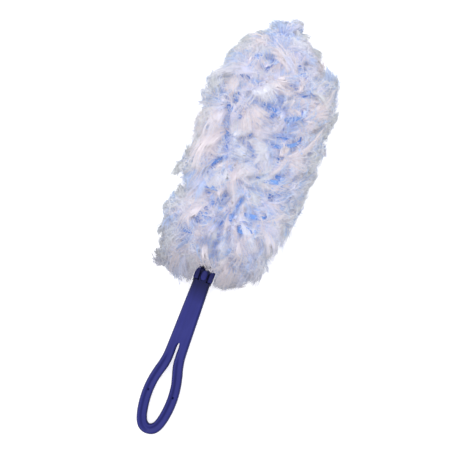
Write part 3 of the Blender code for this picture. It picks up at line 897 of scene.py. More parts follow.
def rosettes(centres, lean, heading, depth, size, fan, caps, seed, spread=1.15, tilts=(1.1, 1.6)):
    """The petals of tufts. Each tuft's grow from one root under the surface: most open as a fan that
    lies over in the tuft's heading, which is away from the seam where heading is 0, and a few stand
    behind it. Also gives each petal's tuft."""
    rng = np.random.default_rng(seed)
    _, up = to_surface(centres)
    along = outward(centres)
    along = unit(along - (along * up).sum(-1, keepdims=True) * up)
    across = np.cross(up, along)
    flow = along * np.cos(heading)[:, None] + across * np.sin(heading)[:, None]
    axis = unit(up * np.cos(lean)[:, None] + flow * np.sin(lean)[:, None])
    root = centres - up * depth[:, None] - flow * (2.0 * size + depth * np.tan(lean) * 0.5)[:, None]
    side = unit(flow - (flow * axis).sum(-1, keepdims=True) * axis)
    third = np.cross(axis, side)
    count, petals = len(centres), fan + caps
    owner = np.repeat(np.arange(count), petals)
    number = np.tile(np.arange(petals), count)
    total = len(owner)
    capped = number >= fan
    turn = spread * ((number + 0.5) / fan * 2 - 1) + rng.normal(0, 0.2, total)
    turn = np.where(capped, rng.uniform(-math.pi, math.pi, total), turn)
    tilt = np.where(capped, rng.uniform(0.35, 0.95, total), rng.uniform(*tilts, total))
    radial = side[owner] * np.cos(turn)[:, None] + third[owner] * np.sin(turn)[:, None]
    length = depth[owner] + size[owner] * np.where(capped, 3.0, 8.0)
    length = length * rng.uniform(0.85, 1.12, total)
    broad = size[owner] ** 0.8
    made = Petals(
        root[owner], axis[owner], radial, tilt - lean[owner] * np.cos(turn), length,
        broad * rng.uniform(3.2, 5.2, total) * np.where(capped, 0.8, 1.0),
        broad**0.7 * rng.uniform(0.7, 1.2, total),
        rng.uniform(-0.05, 0.35, total),
        rng.normal(0, 0.4, count)[owner] + rng.normal(0, 0.15, total),
        rng.uniform(0.05, 0.35, total), seed + 1,
    )  # fmt: skip
    made.standing = capped
    return made, owner


def wisps(petals, per, seed, stations=7, crimp=0.56, stray=0.05, past=0.12, mess=None, locks=11):
    """Single strands on the petals' faces: (strands, stations, 3) in mm, with each one's petal and
    lock. The strands of a lock bend together. Some run past the tip, and a few leave their petal in
    long loose arcs."""
    rng = np.random.default_rng(seed)
    owner = np.repeat(np.arange(petals.count), per)
    total, many = len(owner), petals.count * locks
    spot = rng.integers(0, locks, total)
    lock = owner * locks + spot
    mess = np.ones((total, 1)) if mess is None else mess[owner][:, None]

    def shared(spread, own):
        """Normal values that a lock's strands mostly share."""
        return (rng.normal(0, spread, many)[lock] + rng.normal(0, own, total))[:, None]

    a = ((spot + 0.5) / locks * 2 - 1)[:, None] * 1.02 + shared(0.06, 0.1)
    a = np.clip(a, -0.98, 0.98)
    tip = petals.tip(owner[:, None], a)
    loose = (rng.uniform(0, 1, total) < stray)[:, None]
    begin = rng.uniform(0.15, 0.42, total)[:, None]
    end = tip * (1 + 0.02 + shared(past, past * 0.5).clip(-0.22, 0.4))
    share = np.linspace(0, 1, stations)
    t = begin + (end - begin) * share
    side = np.where(rng.uniform(0, 1, total) < 0.85, 1.0, -1.0)[:, None]
    drift = mess * shared(0.16, 0.07) * share**2
    raised = rng.exponential(0.42, many)[lock] + rng.exponential(0.16, total)
    lift = 0.03 + mess * raised[:, None] * (0.25 + 0.75 * share)
    lift = lift + loose * rng.exponential(1.5, total)[:, None] * share**1.6
    points = petals.read(owner, t, np.clip(a + drift, -1.25, 1.25), side, lift)
    flow = unit(np.gradient(points, axis=1))
    across = unit(petals.across[owner, -1][:, None])
    first = unit(across - (across * flow).sum(-1, keepdims=True) * flow)
    other = np.cross(flow, first)
    phase = (rng.uniform(0, 2 * math.pi, many)[lock] + rng.normal(0, 0.4, total))[:, None]
    waves = (rng.uniform(1.2, 2.6, many)[lock])[:, None]
    amount = mess * crimp * rng.uniform(0.4, 1.5, many)[lock][:, None] * (0.3 + 0.7 * share)
    sway = amount * np.sin(2 * math.pi * waves * share + phase)
    swing = amount * 0.7 * np.cos(2 * math.pi * waves * 0.9 * share + phase * 1.3)
    sway += mess * shared(1.2, 0.4) * share**3
    swing += mess * np.abs(shared(0.8, 0.3)) * share**3
    arc = np.sin(math.pi * share * rng.uniform(0.8, 1.3, total)[:, None])
    sway += loose * rng.normal(0, 2.2, total)[:, None] * arc
    swing += loose * rng.normal(0, 1.4, total)[:, None] * arc
    points = points + first * sway[..., None] + other * swing[..., None]
    return points, owner, lock


# --- the gaps between the tufts: lines in the picture's pixels, and each one's half width and depth --
GAPS = (
    (((226, 194), (227, 199), (223, 203)), 2.2, 9), (((242, 200), (236, 208), (230, 221)), 1.7, 7),
    (((219, 216), (221, 226)), 2.2, 7), (((238, 228), (241, 236)), 1.2, 5),
    (((229, 228), (228, 240)), 1.2, 5), (((216, 243), (214, 256)), 1.7, 6),
    (((210, 193), (214, 201)), 2.8, 6), (((228, 108), (226, 128), (227, 140), (225, 150)), 1.8, 6),
    (((221, 142), (232, 137)), 1.6, 5), (((241, 139), (247, 144), (254, 152)), 1.4, 6),
    (((241, 139), (251, 135)), 1.6, 7), (((208, 166), (219, 160)), 1.8, 7),
    (((246, 160), (252, 156)), 1.7, 7), (((235, 159), (240, 159)), 1.1, 5),
    (((262, 103), (268, 107), (275, 111)), 3.0, 7), (((267, 118), (275, 115)), 2.1, 7),
    (((263, 126), (275, 121)), 1.1, 4), (((273, 136), (283, 137), (291, 137)), 1.7, 6),
    (((285, 139), (291, 143), (293, 151)), 1.7, 6), (((286, 131), (294, 127), (301, 124)), 2.2, 4),
    (((266, 141), (274, 146), (281, 151)), 1.6, 4), (((271, 156), (283, 159)), 1.1, 4),
    (((281, 96), (281, 102)), 1.5, 6), (((290, 99), (298, 95), (307, 96), (317, 98)), 1.4, 5),
    (((287, 86), (294, 88)), 1.7, 6), (((283, 113), (287, 107)), 1.5, 6),
    (((249, 94), (255, 99)), 1.7, 5), (((235, 96), (236, 101)), 1.5, 5),
    (((218, 94), (213, 101)), 3.0, 4), (((300, 71), (306, 64)), 1.8, 5),
    (((318, 79), (321, 76)), 1.7, 5), (((268, 57), (272, 58)), 1.7, 6),
    (((314, 132), (326, 131)), 1.3, 4), (((276, 178), (286, 173)), 2.2, 5),
    (((297, 178), (309, 177)), 1.9, 5), (((249, 178), (259, 177)), 1.4, 6),
    (((248, 188), (260, 190)), 1.1, 4), (((240, 180), (241, 184)), 1.0, 6),
    (((282, 193), (286, 203), (296, 203)), 3.0, 4), (((267, 192), (271, 199)), 1.5, 5),
    (((186, 174), (196, 170), (206, 173)), 1.5, 5), (((181, 178), (184, 180)), 1.7, 4),
    (((166, 216), (169, 218)), 1.5, 5), (((183, 224), (188, 232), (184, 243)), 2.6, 4),
    (((192, 217), (197, 221)), 1.5, 5), (((203, 241), (209, 240)), 2.6, 4),
    (((249, 211), (251, 218)), 2.7, 5), (((248, 224), (250, 225)), 1.5, 5),
    (((257, 242), (261, 246)), 1.9, 5), (((232, 260), (236, 259)), 1.7, 5),
    (((230, 266), (232, 269)), 1.7, 4), (((241, 270), (247, 276)), 1.9, 4),
    (((283, 222), (287, 229)), 1.7, 4),
)  # fmt: skip


def gap_segments():
    starts, ends, reach, deep = [], [], [], []
    for line, half, depth in GAPS:
        spots = seen(*np.array(line, float).T)[:, :2]
        for first, second in zip(spots, spots[1:]):
            starts.append(first)
            ends.append(second)
            reach.append(half)
            deep.append(depth)
    return tuple(np.array(v, np.float32) for v in (starts, ends, reach, deep))


GAP_A, GAP_B, GAP_W, GAP_D = gap_segments()


def gap_at(x, y):
    """How far each place lies from the nearest gap, in that gap's half widths, and how deep the gap
    presses the tufts down there, in mm."""
    spots = np.stack([x.ravel(), y.ravel()], -1).astype(np.float32)
    near, dent = np.empty(len(spots), np.float32), np.empty(len(spots), np.float32)
    run = GAP_B - GAP_A
    square = np.maximum((run * run).sum(-1), 1e-6)
    for first in range(0, len(spots), 40000):
        part = spots[first : first + 40000, None] - GAP_A
        along = np.clip((part * run).sum(-1) / square, 0, 1)
        far = np.linalg.norm(part - along[..., None] * run, axis=-1) / GAP_W
        near[first : first + 40000] = far.min(1)
        dent[first : first + 40000] = (GAP_D * smoothstep((2.3 - far) / 1.5)).max(1)
    return near.reshape(x.shape), dent.reshape(x.shape)


def notch_edge(x, z):
    """Where the fibres end over the neck. High above the yoke, clear of the fold's path, they hang
    over it a little."""
    hang = np.interp(
        x, [-9.5, -7.7, -7.4, -5.3, -2.9, -0.3, 3.8, 6.7, 9], [0.5, 2.5, 7.0, 7.4, 11.5, 9.3, 7.6, 8.6, 7]
    )
    return np.where(z > 10.6, hang, np.maximum(hang, NOTCH_Y))


def in_notch(points, slack=1.0):
    """Which rows of points, (rows, ..., 3), enter the notch at the neck by more than slack mm."""
    x, y, z = np.moveaxis(points, -1, 0)
    slack = np.reshape(slack, (-1, *([1] * (x.ndim - 1))))
    inside = (np.abs(x) < NOTCH_X - slack) & (y < notch_edge(x, z) - slack)
    return inside.reshape(len(points), -1).any(1)


def settle(points):
    """Presses the gaps into the fibres and lays them down."""
    x, y, z = np.moveaxis(points, -1, 0)
    upper = z > 0
    dent = np.zeros_like(z)
    dent[upper] = gap_at(x[upper], y[upper])[1]
    z = np.where(upper, np.maximum(z - dent, np.minimum(z, 4.6)), z)
    return lay_down(np.stack([x, y, z], -1))


def lay_down(points):
    """Keeps points out of the fork's yoke and the fold's path, lays low ones on the floor, and gives
    them in the frame."""
    x, y, z = np.moveaxis(points, -1, 0)
    edge = notch_edge(x, z)
    near = (np.abs(x) < NOTCH_X) & (y < edge)
    by_side = NOTCH_X - np.abs(x)
    by_end = edge - y
    aside = near & (by_side < by_end)
    x = np.where(aside, np.sign(x) * (NOTCH_X + 0.12 * by_side), x)
    y = np.where(near & ~aside, edge + 0.12 * by_end, y)
    # the sleeve's place stays free
    inner = (np.abs(x) < 18.6) & (y < 184.5)
    z = np.where(inner & (z >= 0) & (z < 3.4), 3.4, z)
    z = np.where(inner & (z < 0) & (z > -3.4), -3.4, z)
    world = to_world(np.stack([x, y, z], -1))
    low = 0.0022
    under = np.maximum(low - world[..., 2], 0)
    world[..., 2] = np.where(
        under > 0, 0.00035 + (low - 0.00035) * np.exp(-under / (low - 0.00035)), world[..., 2]
    )
    # strands that stand high over the tufts bend over before they leave the model's box
    over = np.maximum(world[..., 2] - 0.059, 0)
    world[..., 2] -= over - 0.011 * (1 - np.exp(-over / 0.011))
    return world


def mapped_mesh(name, verts, groups):
    """A smooth mesh from world points and groups of (faces, map), with the map named OFBake."""
    mesh = bpy.data.meshes.new(name)
    mesh.vertices.add(len(verts))
    mesh.vertices.foreach_set("co", np.asarray(verts, np.float32).ravel())
    corners = np.concatenate([faces.ravel() for faces, _ in groups]).astype(np.int32)
    sizes = np.concatenate([np.full(len(faces), faces.shape[1]) for faces, _ in groups])
    mesh.loops.add(len(corners))
    mesh.loops.foreach_set("vertex_index", corners)
    mesh.polygons.add(len(sizes))
    starts = np.concatenate([[0], np.cumsum(sizes)[:-1]]).astype(np.int32)
    mesh.polygons.foreach_set("loop_start", starts)
    mesh.polygons.foreach_set("use_smooth", np.ones(len(sizes), bool))
    layer = mesh.uv_layers.new(name="OFBake")
    uv = np.vstack([table.reshape(-1, 2) for _, table in groups])
    layer.data.foreach_set("uv", uv.astype(np.float32).ravel())
    mesh.update(calc_edges=True)
    return mesh


def tone_step(tone):
    return (np.clip(tone, 0, TONES - 1).astype(int) + 0.5) / TONES


def tubes(name, points, thick, tone, taper=(0.75, 0.35)):
    """A mesh of thin three-sided strands through points (strands, stations, 3) in metres; thick is
    each strand's width in mm and tone its step of the palette."""
    count, stations = points.shape[:2]
    tangent = unit(np.gradient(points, axis=1))
    rng = np.random.default_rng(count)
    normal = np.empty_like(points)
    start = rng.normal(size=(count, 3))
    for k in range(stations):
        start = unit(start - (start * tangent[:, k]).sum(-1, keepdims=True) * tangent[:, k])
        normal[:, k] = start
    other = np.cross(tangent, normal)
    t = np.linspace(0, 1, stations)
    shape = np.interp(t, [0, 0.25, 0.7, 1], [taper[0], 1, 0.9, taper[1]])
    radius = thick[:, None] / 2 * MM * shape
    turn = np.array([0, 2, 4]) * math.pi / 3
    ring = (
        points[:, :, None]
        + radius[..., None, None] * np.cos(turn)[:, None] * normal[:, :, None]
        + radius[..., None, None] * np.sin(turn)[:, None] * other[:, :, None]
    )
    first = np.arange(count)[:, None, None] * stations * 3
    k = np.arange(stations - 1)[:, None] * 3
    j = np.arange(3)
    a, b = first + k + j, first + k + (j + 1) % 3
    quads = np.stack([a, b, b + 3, a + 3], -1).reshape(-1, 4)
    ends = np.arange(count)[:, None] * stations * 3
    caps = np.stack(
        [ends + np.array([2, 1, 0]), ends + (stations - 1) * 3 + np.array([0, 1, 2])], 1
    ).reshape(-1, 3)
    # the map: u is the strand's step of the palette, v runs from root to tip
    step = tone_step(tone)
    wide = 0.7 / TONES
    u = step[:, None, None, None] + wide * (
        np.stack([j, j + 1, j + 1, j], -1)[None, None] / 3 - 0.5
    )
    v = 0.35 + 0.63 * np.stack([k, k, k + 3, k + 3], -1) / 3 / (stations - 1)
    u = np.broadcast_to(u, (count, stations - 1, 3, 4))
    v = np.broadcast_to(v[None], (count, stations - 1, 3, 4))
    cap_u = step[:, None, None] + wide * np.array([-0.5, 0.0, 0.5])
    cap_u = np.broadcast_to(cap_u, (count, 2, 3))
    cap_v = np.broadcast_to(np.array([[0.35, 0.33, 0.35], [0.98, 1.0, 0.98]]), (count, 2, 3))
    return mapped_mesh(
        name, ring.reshape(-1, 3),
        [(quads, np.stack([u, v], -1)), (caps, np.stack([cap_u, cap_v], -1))],
    )  # fmt: skip


def petal_mesh(name, petals, chosen, tone, stations=7, width=13, narrow=0.72, short=0.74):
    """The closed bodies of the chosen petals, as one mesh. They are a little narrower and shorter
    than the strands that lie over them."""
    a = np.sin(np.linspace(-math.pi / 2, math.pi / 2, width))
    t = np.linspace(0.04, 1, stations)
    own = chosen[:, None, None]
    ends = petals.tip(own, np.broadcast_to(a, (len(chosen), 1, width)))
    grid_t = t[None, :, None] * ends * short
    grid_a = np.broadcast_to(a, grid_t.shape)
    over = petals.read(chosen, grid_t, grid_a, 1.0, narrow=narrow)
    under = petals.read(chosen, grid_t, grid_a, -1.0, narrow=narrow)[:, :, 1:-1][:, :, ::-1]
    ring = np.concatenate([over, under], 2)
    sides = ring.shape[2]
    over_a = np.concatenate([a, a[1:-1][::-1]])
    points = settle(ring.reshape(-1, 3))
    index = np.arange(len(chosen) * stations * sides).reshape(len(chosen), stations, sides)
    following = np.roll(index, -1, 2)
    quads = np.stack(
        [index[:, :-1], following[:, :-1], following[:, 1:], index[:, 1:]], -1
    )
    step = tone_step(tone)[:, None, None]
    next_a = np.roll(over_a, -1)
    u_a = np.broadcast_to(step + 0.42 / TONES * over_a, quads.shape[:3])
    u_b = np.broadcast_to(step + 0.42 / TONES * next_a, quads.shape[:3])
    v_a = np.broadcast_to((0.02 + 0.94 * t[:-1])[None, :, None], quads.shape[:3])
    v_b = np.broadcast_to((0.02 + 0.94 * t[1:])[None, :, None], quads.shape[:3])
    uv = np.stack(
        [np.stack(pair, -1) for pair in ((u_a, v_a), (u_b, v_a), (u_b, v_b), (u_a, v_b))], -2
    )
    caps, cap_uv = [], []
    lower = np.arange(sides) >= width
    for row, flip, v in ((0, True, (0.06, 0.02)), (-1, False, (0.96, 0.99))):
        ring_index = index[:, row]
        cap_u = np.broadcast_to(step[:, 0] + 0.42 / TONES * over_a, ring_index.shape)
        cap_v = np.broadcast_to(np.where(lower, v[1], v[0]), ring_index.shape)
        table = np.stack([cap_u, cap_v], -1)
        caps.append(ring_index[:, ::-1] if flip else ring_index)
        cap_uv.append(table[:, ::-1] if flip else table)
    return mapped_mesh(
        name, points,
        [
            (quads.reshape(-1, 4), uv),
            (np.concatenate(caps), np.concatenate(cap_uv)),
        ],
    )  # fmt: skip


COUNTS = {}


def place(name, node, slot, mesh, material):
    mesh.materials.append(material)
    piece = new_object(name, mesh)
    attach(piece, "refill")
    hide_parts(node)
    COUNTS[name] = sum(len(p.vertices) - 2 for p in mesh.polygons)


def lay_strands(name, node, points, thick, tone, material, slot, limit=5000):
    """Makes the strands' pieces, a few thousand strands each, that stand for a CAD node."""
    order = np.argsort(points[:, -1, 1], kind="stable")
    ragged = np.random.default_rng(len(order)).uniform(0.2, 1.6, len(order))
    order = order[~in_notch(points[order], ragged[order])]
    parts = max(1, math.ceil(len(order) / limit))
    for n, chosen in enumerate(np.array_split(order, parts)):
        label = f"{name}_{n + 1}"
        mesh = tubes(label, settle(points[chosen]), thick[chosen], tone[chosen])
        place(label, node, slot, mesh, material)


def lay_petals(name, node, petals, tone, material, slot, limit=360, **size):
    """Makes the petals' pieces, a few hundred petals each, that stand for a CAD node. The standing
    ones are loose strands only."""
    order = np.argsort(petals.line[:, -1, 1], kind="stable")
    order = order[~petals.standing[order]]
    a, t = np.meshgrid(np.linspace(-1, 1, 5), np.linspace(0.1, 0.8, 5))
    sample = petals.read(
        order, np.broadcast_to(t, (len(order), 5, 5)), np.broadcast_to(a, (len(order), 5, 5)),
        narrow=0.7,
    )  # fmt: skip
    order = order[~in_notch(sample, 0.5)]
    parts = max(1, math.ceil(len(order) / limit))
    for n, chosen in enumerate(np.array_split(order, parts)):
        label = f"{name}_{n + 1}"
        mesh = petal_mesh(label, petals, chosen, tone[chosen], **size)
        place(label, node, slot, mesh, material)


def not_in_notch(p):
    return ~((np.abs(p[:, 0]) < NOTCH_X) & (p[:, 1] < NOTCH_Y + 3))


def room(centres, way):
    """How deep a root may lie under each centre before it comes near the sleeve."""
    return np.maximum((np.abs(centres[:, 2]) - 2.5) / np.maximum(np.abs(way[:, 2]), 0.25), 1.5)


def half_of(sign):
    if sign > 0:
        return lambda p: (p[:, 2] > 0) & not_in_notch(p)
    return lambda p: (p[:, 2] <= 0) & not_in_notch(p)


# --- white tufts ----------------------------------------------------------------------------------
# the larger tufts of the upper side: where they are in the picture, the way they lie there in degrees
# (90 is up the picture), their length in pixels, and their kind
TUFTS = (
    (281, 36, 96, 20, "blue"), (294, 52, 80, 22, "pink"), (268, 46, 100, 20, "grey"),
    (250, 43, 110, 16, "grey"), (238, 53, 145, 16, "blue"), (247, 63, 170, 22, "lavender"),
    (229, 66, 165, 18, "white"), (276, 71, 0, 26, "pink"), (303, 60, 62, 30, "lavender"),
    (318, 66, 35, 22, "pink"), (224, 80, 195, 24, "lavender"), (238, 93, 215, 20, "lavender"),
    (262, 88, 305, 24, "white"), (300, 89, 5, 30, "pink"), (326, 88, -5, 20, "grey"),
    (291, 108, 40, 13, "white"), (307, 111, -15, 28, "pink"), (326, 116, -8, 22, "pink"),
    (247, 113, 300, 30, "pink"), (213, 108, 195, 26, "lavender"), (236, 127, 230, 20, "white"),
    (205, 134, 200, 36, "pink"), (256, 127, -10, 22, "lavender"), (289, 122, 230, 18, "lavender"),
    (259, 143, -20, 22, "white"), (304, 139, -10, 26, "pink"), (319, 125, -5, 18, "pink"),
    (281, 147, -35, 18, "blue"), (199, 157, 202, 26, "pink"), (238, 150, 250, 14, "white"),
    (268, 152, 180, 18, "white"), (307, 161, -3, 28, "pink"), (186, 167, 190, 16, "grey"),
    (197, 177, 215, 22, "blue"), (229, 169, 240, 22, "pink"), (215, 177, 250, 18, "white"),
    (251, 167, 200, 20, "white"), (279, 167, -15, 22, "white"), (195, 188, 183, 32, "white"),
    (215, 186, 230, 16, "pink"), (186, 201, 187, 28, "pink"), (240, 193, 285, 20, "white"),
    (262, 187, -12, 22, "grey"), (285, 183, 8, 24, "pink"), (303, 189, -12, 18, "lavender"),
    (209, 212, 200, 24, "pink"), (262, 206, 307, 26, "grey"), (286, 213, -28, 28, "lavender"),
    (177, 218, 190, 22, "white"), (235, 227, 270, 20, "pink"), (204, 224, 212, 18, "lavender"),
    (256, 232, 310, 24, "white"), (279, 229, -22, 24, "lavender"), (168, 231, 195, 18, "grey"),
    (173, 247, 204, 24, "pink"), (195, 250, 250, 20, "pink"), (206, 234, 240, 14, "grey"),
    (176, 262, 225, 22, "blue"), (250, 250, 297, 22, "pink"), (229, 249, 270, 18, "white"),
    (266, 262, 318, 22, "lavender"), (234, 272, 268, 22, "pink"), (248, 275, 288, 18, "lavender"),
    (188, 266, 250, 18, "grey"), (212, 258, 262, 15, "grey"),
)  # fmt: skip
KIND_TONES = {"white": 9, "pink": 28, "lavender": 37, "blue": 43, "grey": 59}


def listed_tufts():
    """The listed tufts' centres, headings, sizes and tones, as the rosettes take them."""
    table = np.array([row[:4] for row in TUFTS], float)
    size = table[:, 3] * 0.8 / 8.6
    angle = np.radians(table[:, 2]) + LEAN
    flow = np.column_stack([np.cos(angle), np.sin(angle), np.zeros(len(table))])
    spots = seen(table[:, 0], table[:, 1]) - flow * (2.3 * size)[:, None]
    centres, up = to_surface(spots)
    along = outward(centres)
    along = unit(along - (along * up).sum(-1, keepdims=True) * up)
    across = np.cross(up, along)
    heading = np.arctan2((flow * across).sum(-1), (flow * along).sum(-1))
    return centres, heading, size, np.array([KIND_TONES[row[4]] for row in TUFTS], float)


def make_tufts(label, sign):
    rng = np.random.default_rng(40 + sign)
    fixed, fixed_heading, fixed_size, fixed_tone = listed_tufts()
    if sign < 0:
        fixed, fixed_heading, fixed_size, fixed_tone = (
            v[:0] for v in (fixed, fixed_heading, fixed_size, fixed_tone)
        )
    more = spread_points(600, 12.3, fixed=fixed, seed=50 + sign, keep=half_of(sign))
    listed, count = len(fixed), len(fixed) + len(more)
    tufts = np.vstack([fixed, more])
    kinds = rng.uniform(0, 1, count)
    # painted shade: most tufts near the rim take the grey tone, for the shade round the rim
    rim_painted_shade = np.abs(tufts[:, 0]) / np.maximum(half_widths(tufts[:, 0], tufts[:, 1]), 1) > 0.86
    base = np.where(kinds < 0.4, 9.0, np.where(kinds < 0.72, 28, np.where(kinds < 0.9, 37, 43)))
    base = np.where(rim_painted_shade & (kinds < 0.75), 59.0, base)
    base[:listed] = fixed_tone
    size = rng.uniform(1.0, 1.5, count)
    size[:listed] = fixed_size
    heading = rng.normal(0, 0.8, count)
    heading[:listed] = fixed_heading
    _, way = to_surface(tufts)
    sunk = 1.2 + rng.uniform(0.9, 3.0, count) * size
    sunk[:listed] = 1.6 + rng.uniform(0.6, 1.3, listed) * fixed_size
    centres = tufts - way * sunk[:, None]
    depth = np.minimum(rng.uniform(5.5, 7.5, count) * size**0.7, room(centres, way))
    lean = rng.uniform(0.1, 0.6, count)
    petals, tuft = rosettes(
        centres, lean, heading, depth, size, 5, 2, 60 + sign, spread=0.9, tilts=(1.2, 1.55)
    )
    tone = base[tuft] + rng.normal(0, 2.0, petals.count)
    lay_petals(
        f"outer_tufts_{label}", f"tow_white_outer_{label}", petals, tone, WHITE_FIBRE,
        "white_fibre",
    )  # fmt: skip
    mess = rng.uniform(0.25, 1.0, count)[tuft]
    per = ((38 if sign > 0 else 20) * size[tuft] ** 0.9).astype(int)
    points, owner, lock = wisps(petals, per, 70 + sign, mess=mess)
    thick = rng.uniform(0.20, 0.36, len(points))
    strand_tone = tone[owner] + rng.normal(0, 1.6, lock.max() + 1)[lock]
    strand_tone = strand_tone + rng.normal(0, 1.0, len(points))
    odd = rng.uniform(0, 1, len(points))
    strand_tone = np.where(odd < 0.04, rng.uniform(36, 48, len(points)), strand_tone)
    if sign > 0:  # the strands that cross a gap are blue, as the ones under them
        near, _ = gap_at(points[:, 3, 0], points[:, 3, 1])
        strand_tone = np.where(near < 1.25, rng.uniform(40, 52, len(points)), strand_tone)
    lay_strands(
        f"outer_strands_{label}", f"tow_white_outer_{label}", points, thick, strand_tone,
        WHITE_FIBRE, "white_fibre",
    )  # fmt: skip
    return count, petals.count, len(points)


def make_under_layer(label, sign, name, node, spacing, inset, material, slot, tones, seed):
    """The layers that show between the tufts: fewer, plainer petals, deeper in."""
    rng = np.random.default_rng(seed + sign)
    tufts = spread_points(1200, spacing, seed=seed + 5 + sign, keep=half_of(sign))
    count = len(tufts)
    _, way = to_surface(tufts)
    centres = tufts - way * (inset + rng.uniform(-0.5, 0.5, count))[:, None]
    depth = np.minimum(rng.uniform(4.5, 6.0, count), room(centres, way))
    petals, tuft = rosettes(
        centres, rng.uniform(0.3, 1.0, count), rng.normal(0, 0.9, count), depth,
        np.full(count, 1.2), 4, 1, seed + 9 + sign,
    )  # fmt: skip
    tone = rng.uniform(*tones, count)[tuft] + rng.normal(0, 3, petals.count)
    tone = np.clip(tone, 32 if slot == "white_fibre" else 2, 50 if slot == "white_fibre" else 62)
    lay_petals(
        f"{name}_{label}", node, petals, tone, material, slot, stations=6, width=9, narrow=0.62,
        short=0.66,
    )  # fmt: skip
    points, owner, _ = wisps(petals, 15 if sign > 0 else 5, seed + 20 + sign, locks=5)
    thick = rng.uniform(0.24, 0.40, len(points))
    lay_strands(
        f"{name}_strands_{label}", node, points, thick,
        tone[owner] + rng.normal(0, 2, len(points)), material, slot,
    )  # fmt: skip
    return count, petals.count, len(points)


def core_mesh(name, up):
    """The packed fibre mass over or under the sleeve: a lumpy lens, flat where the sleeve lies."""
    ys = np.concatenate([np.linspace(13, 30, 12), np.linspace(33, 180, 66), np.linspace(182, 203, 12)])
    share = np.sin(np.linspace(-math.pi / 2, math.pi / 2, 61))
    y = np.repeat(ys[:, None], len(share), 1)
    left = np.maximum(np.interp(ys, SIDE_Y, LEFT_W) - 9, 3)
    right = np.maximum(np.interp(ys, SIDE_Y, RIGHT_W) - 9, 3)
    x = np.where(share < 0, share * left[:, None], share * right[:, None])
    full = fullness(y)
    seam = np.exp(-(((x - SEAM_X) / 5.5) ** 2)) * (1 - smoothstep((y - 40) / 90))
    tall = UPPER_H * full * (1 - 0.34 * seam) if up > 0 else (floor_depth(y) + 1.0) * full
    tall = np.maximum(tall - 8.5, 1.0)
    lens = np.maximum(1 - np.abs(share) ** POWER, 0) ** (1 / POWER)
    lumps = (
        np.sin(x * 0.42 + y * 0.11) * np.sin(y * 0.37 - x * 0.09)
        + 0.6 * np.sin(x * 0.21 - y * 0.53 + 1.3) * np.sin(y * 0.19 + x * 0.33)
    )
    ends = smoothstep((y - 13) / 10) * smoothstep((203 - y) / 22)
    seat = np.where(np.abs(x) < 19.5, 3.3, 0.25)
    over = seat + np.maximum(tall * lens * ends - seat, 0) + 0.05
    over += lumps * 0.9 * lens * ends * (over > seat + 1.5)
    if up < 0:
        over = np.minimum(over, floor_depth(y) - 2.4)
    rows, cols = x.shape
    top = np.stack([x, y, up * over], -1).reshape(-1, 3)
    bottom = np.stack([x, y, up * np.broadcast_to(seat, x.shape)], -1).reshape(-1, 3)
    points = to_world(np.vstack([top, bottom]))
    index = np.arange(rows * cols).reshape(rows, cols)
    a, b, c, d = index[:-1, :-1], index[:-1, 1:], index[1:, 1:], index[1:, :-1]
    faces = [np.stack([a, b, c, d], -1).reshape(-1, 4)]
    shift = rows * cols
    faces.append(np.stack([a, d, c, b], -1).reshape(-1, 4) + shift)
    for line in (index[0], index[-1][::-1], index[:, 0][::-1], index[:, -1]):
        faces.append(
            np.stack([line[:-1], line[:-1] + shift, line[1:] + shift, line[1:]], -1).reshape(-1, 4)
        )
    quads = np.vstack(faces)
    if up < 0:
        quads = quads[:, ::-1]
    return mesh_of(name, points, quads)


def make_core(label, up):
    mesh = core_mesh(f"blue_tow_mass_{label}", up)
    mesh.materials.append(MASS)
    piece = new_object(f"blue_tow_mass_{label}", mesh)
    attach(piece, "refill")
    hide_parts(f"tow_blue_{label}")


# --- long single filaments that lie over the tufts in arcs and curls -----------------------------
def make_filaments(
    name, label, sign, count, seed, thick, bend, reach=(9, 19), ends=(0, 208), half=54, tones=(2, 22)
):
    """bend is about how far, in radians, each turns on its way, and reach its length in mm."""
    rng = np.random.default_rng(seed + sign)
    raw = np.column_stack(
        [rng.uniform(-half, half, count), rng.uniform(*ends, count), sign * rng.uniform(3, 28, count)]
    )
    place_on, way = to_surface(raw)
    along = outward(place_on)
    along = unit(along - (along * way).sum(-1, keepdims=True) * way)
    side = np.cross(way, along)
    share = np.linspace(0, 1, 14)
    heading = rng.normal(0, 1.1, count)[:, None] + np.cumsum(
        rng.normal(0, 0.25, (count, 14)), 1
    ) + (rng.choice([-1, 1], count) * bend * rng.uniform(0.3, 1.4, count))[:, None] * share
    step = rng.uniform(*reach, count)[:, None] / 13
    a = np.cumsum(np.cos(heading) * step, 1)
    b = np.cumsum(np.sin(heading) * step, 1)
    flat = place_on[:, None] + a[..., None] * along[:, None] + b[..., None] * side[:, None]
    base, up = to_surface(flat)
    lift = -1.6 + 2.1 * np.sin(math.pi * share) + rng.normal(0, 0.5, count)[:, None]
    points = base + up * lift[..., None]
    lay_strands(
        f"{name}_{label}", f"tow_white_outer_{label}", points, rng.uniform(*thick, count),
        rng.uniform(*tones, count), WHITE_FIBRE, "white_fibre",
    )  # fmt: skip


# --- the slit sheets: pale strips that run out from the seam on both sides -----------------------
STRIP_W, STRIP_PITCH, BAND_HALF_W = 3.6, 4.3, 6.0


def ribbon_rows(middle, across, face, width, thick):
    """The four corner lines of a flat ribbon along a middle line."""
    half, deep = width / 2, thick / 2
    return np.stack(
        [
            middle - across * half - face * deep,
            middle + across * half - face * deep,
            middle + across * half + face * deep,
            middle - across * half + face * deep,
        ],
        -2,
    )


def ribbon_faces(first, stations):
    k = np.arange(stations - 1)[:, None] * 4 + first
    j = np.arange(4)
    quads = np.stack([k + j, k + (j + 1) % 4, k + (j + 1) % 4 + 4, k + j + 4], -1).reshape(-1, 4)
    end = first + (stations - 1) * 4
    return np.vstack([quads, [[first + 3, first + 2, first + 1, first]], [[end, end + 1, end + 2, end + 3]]])


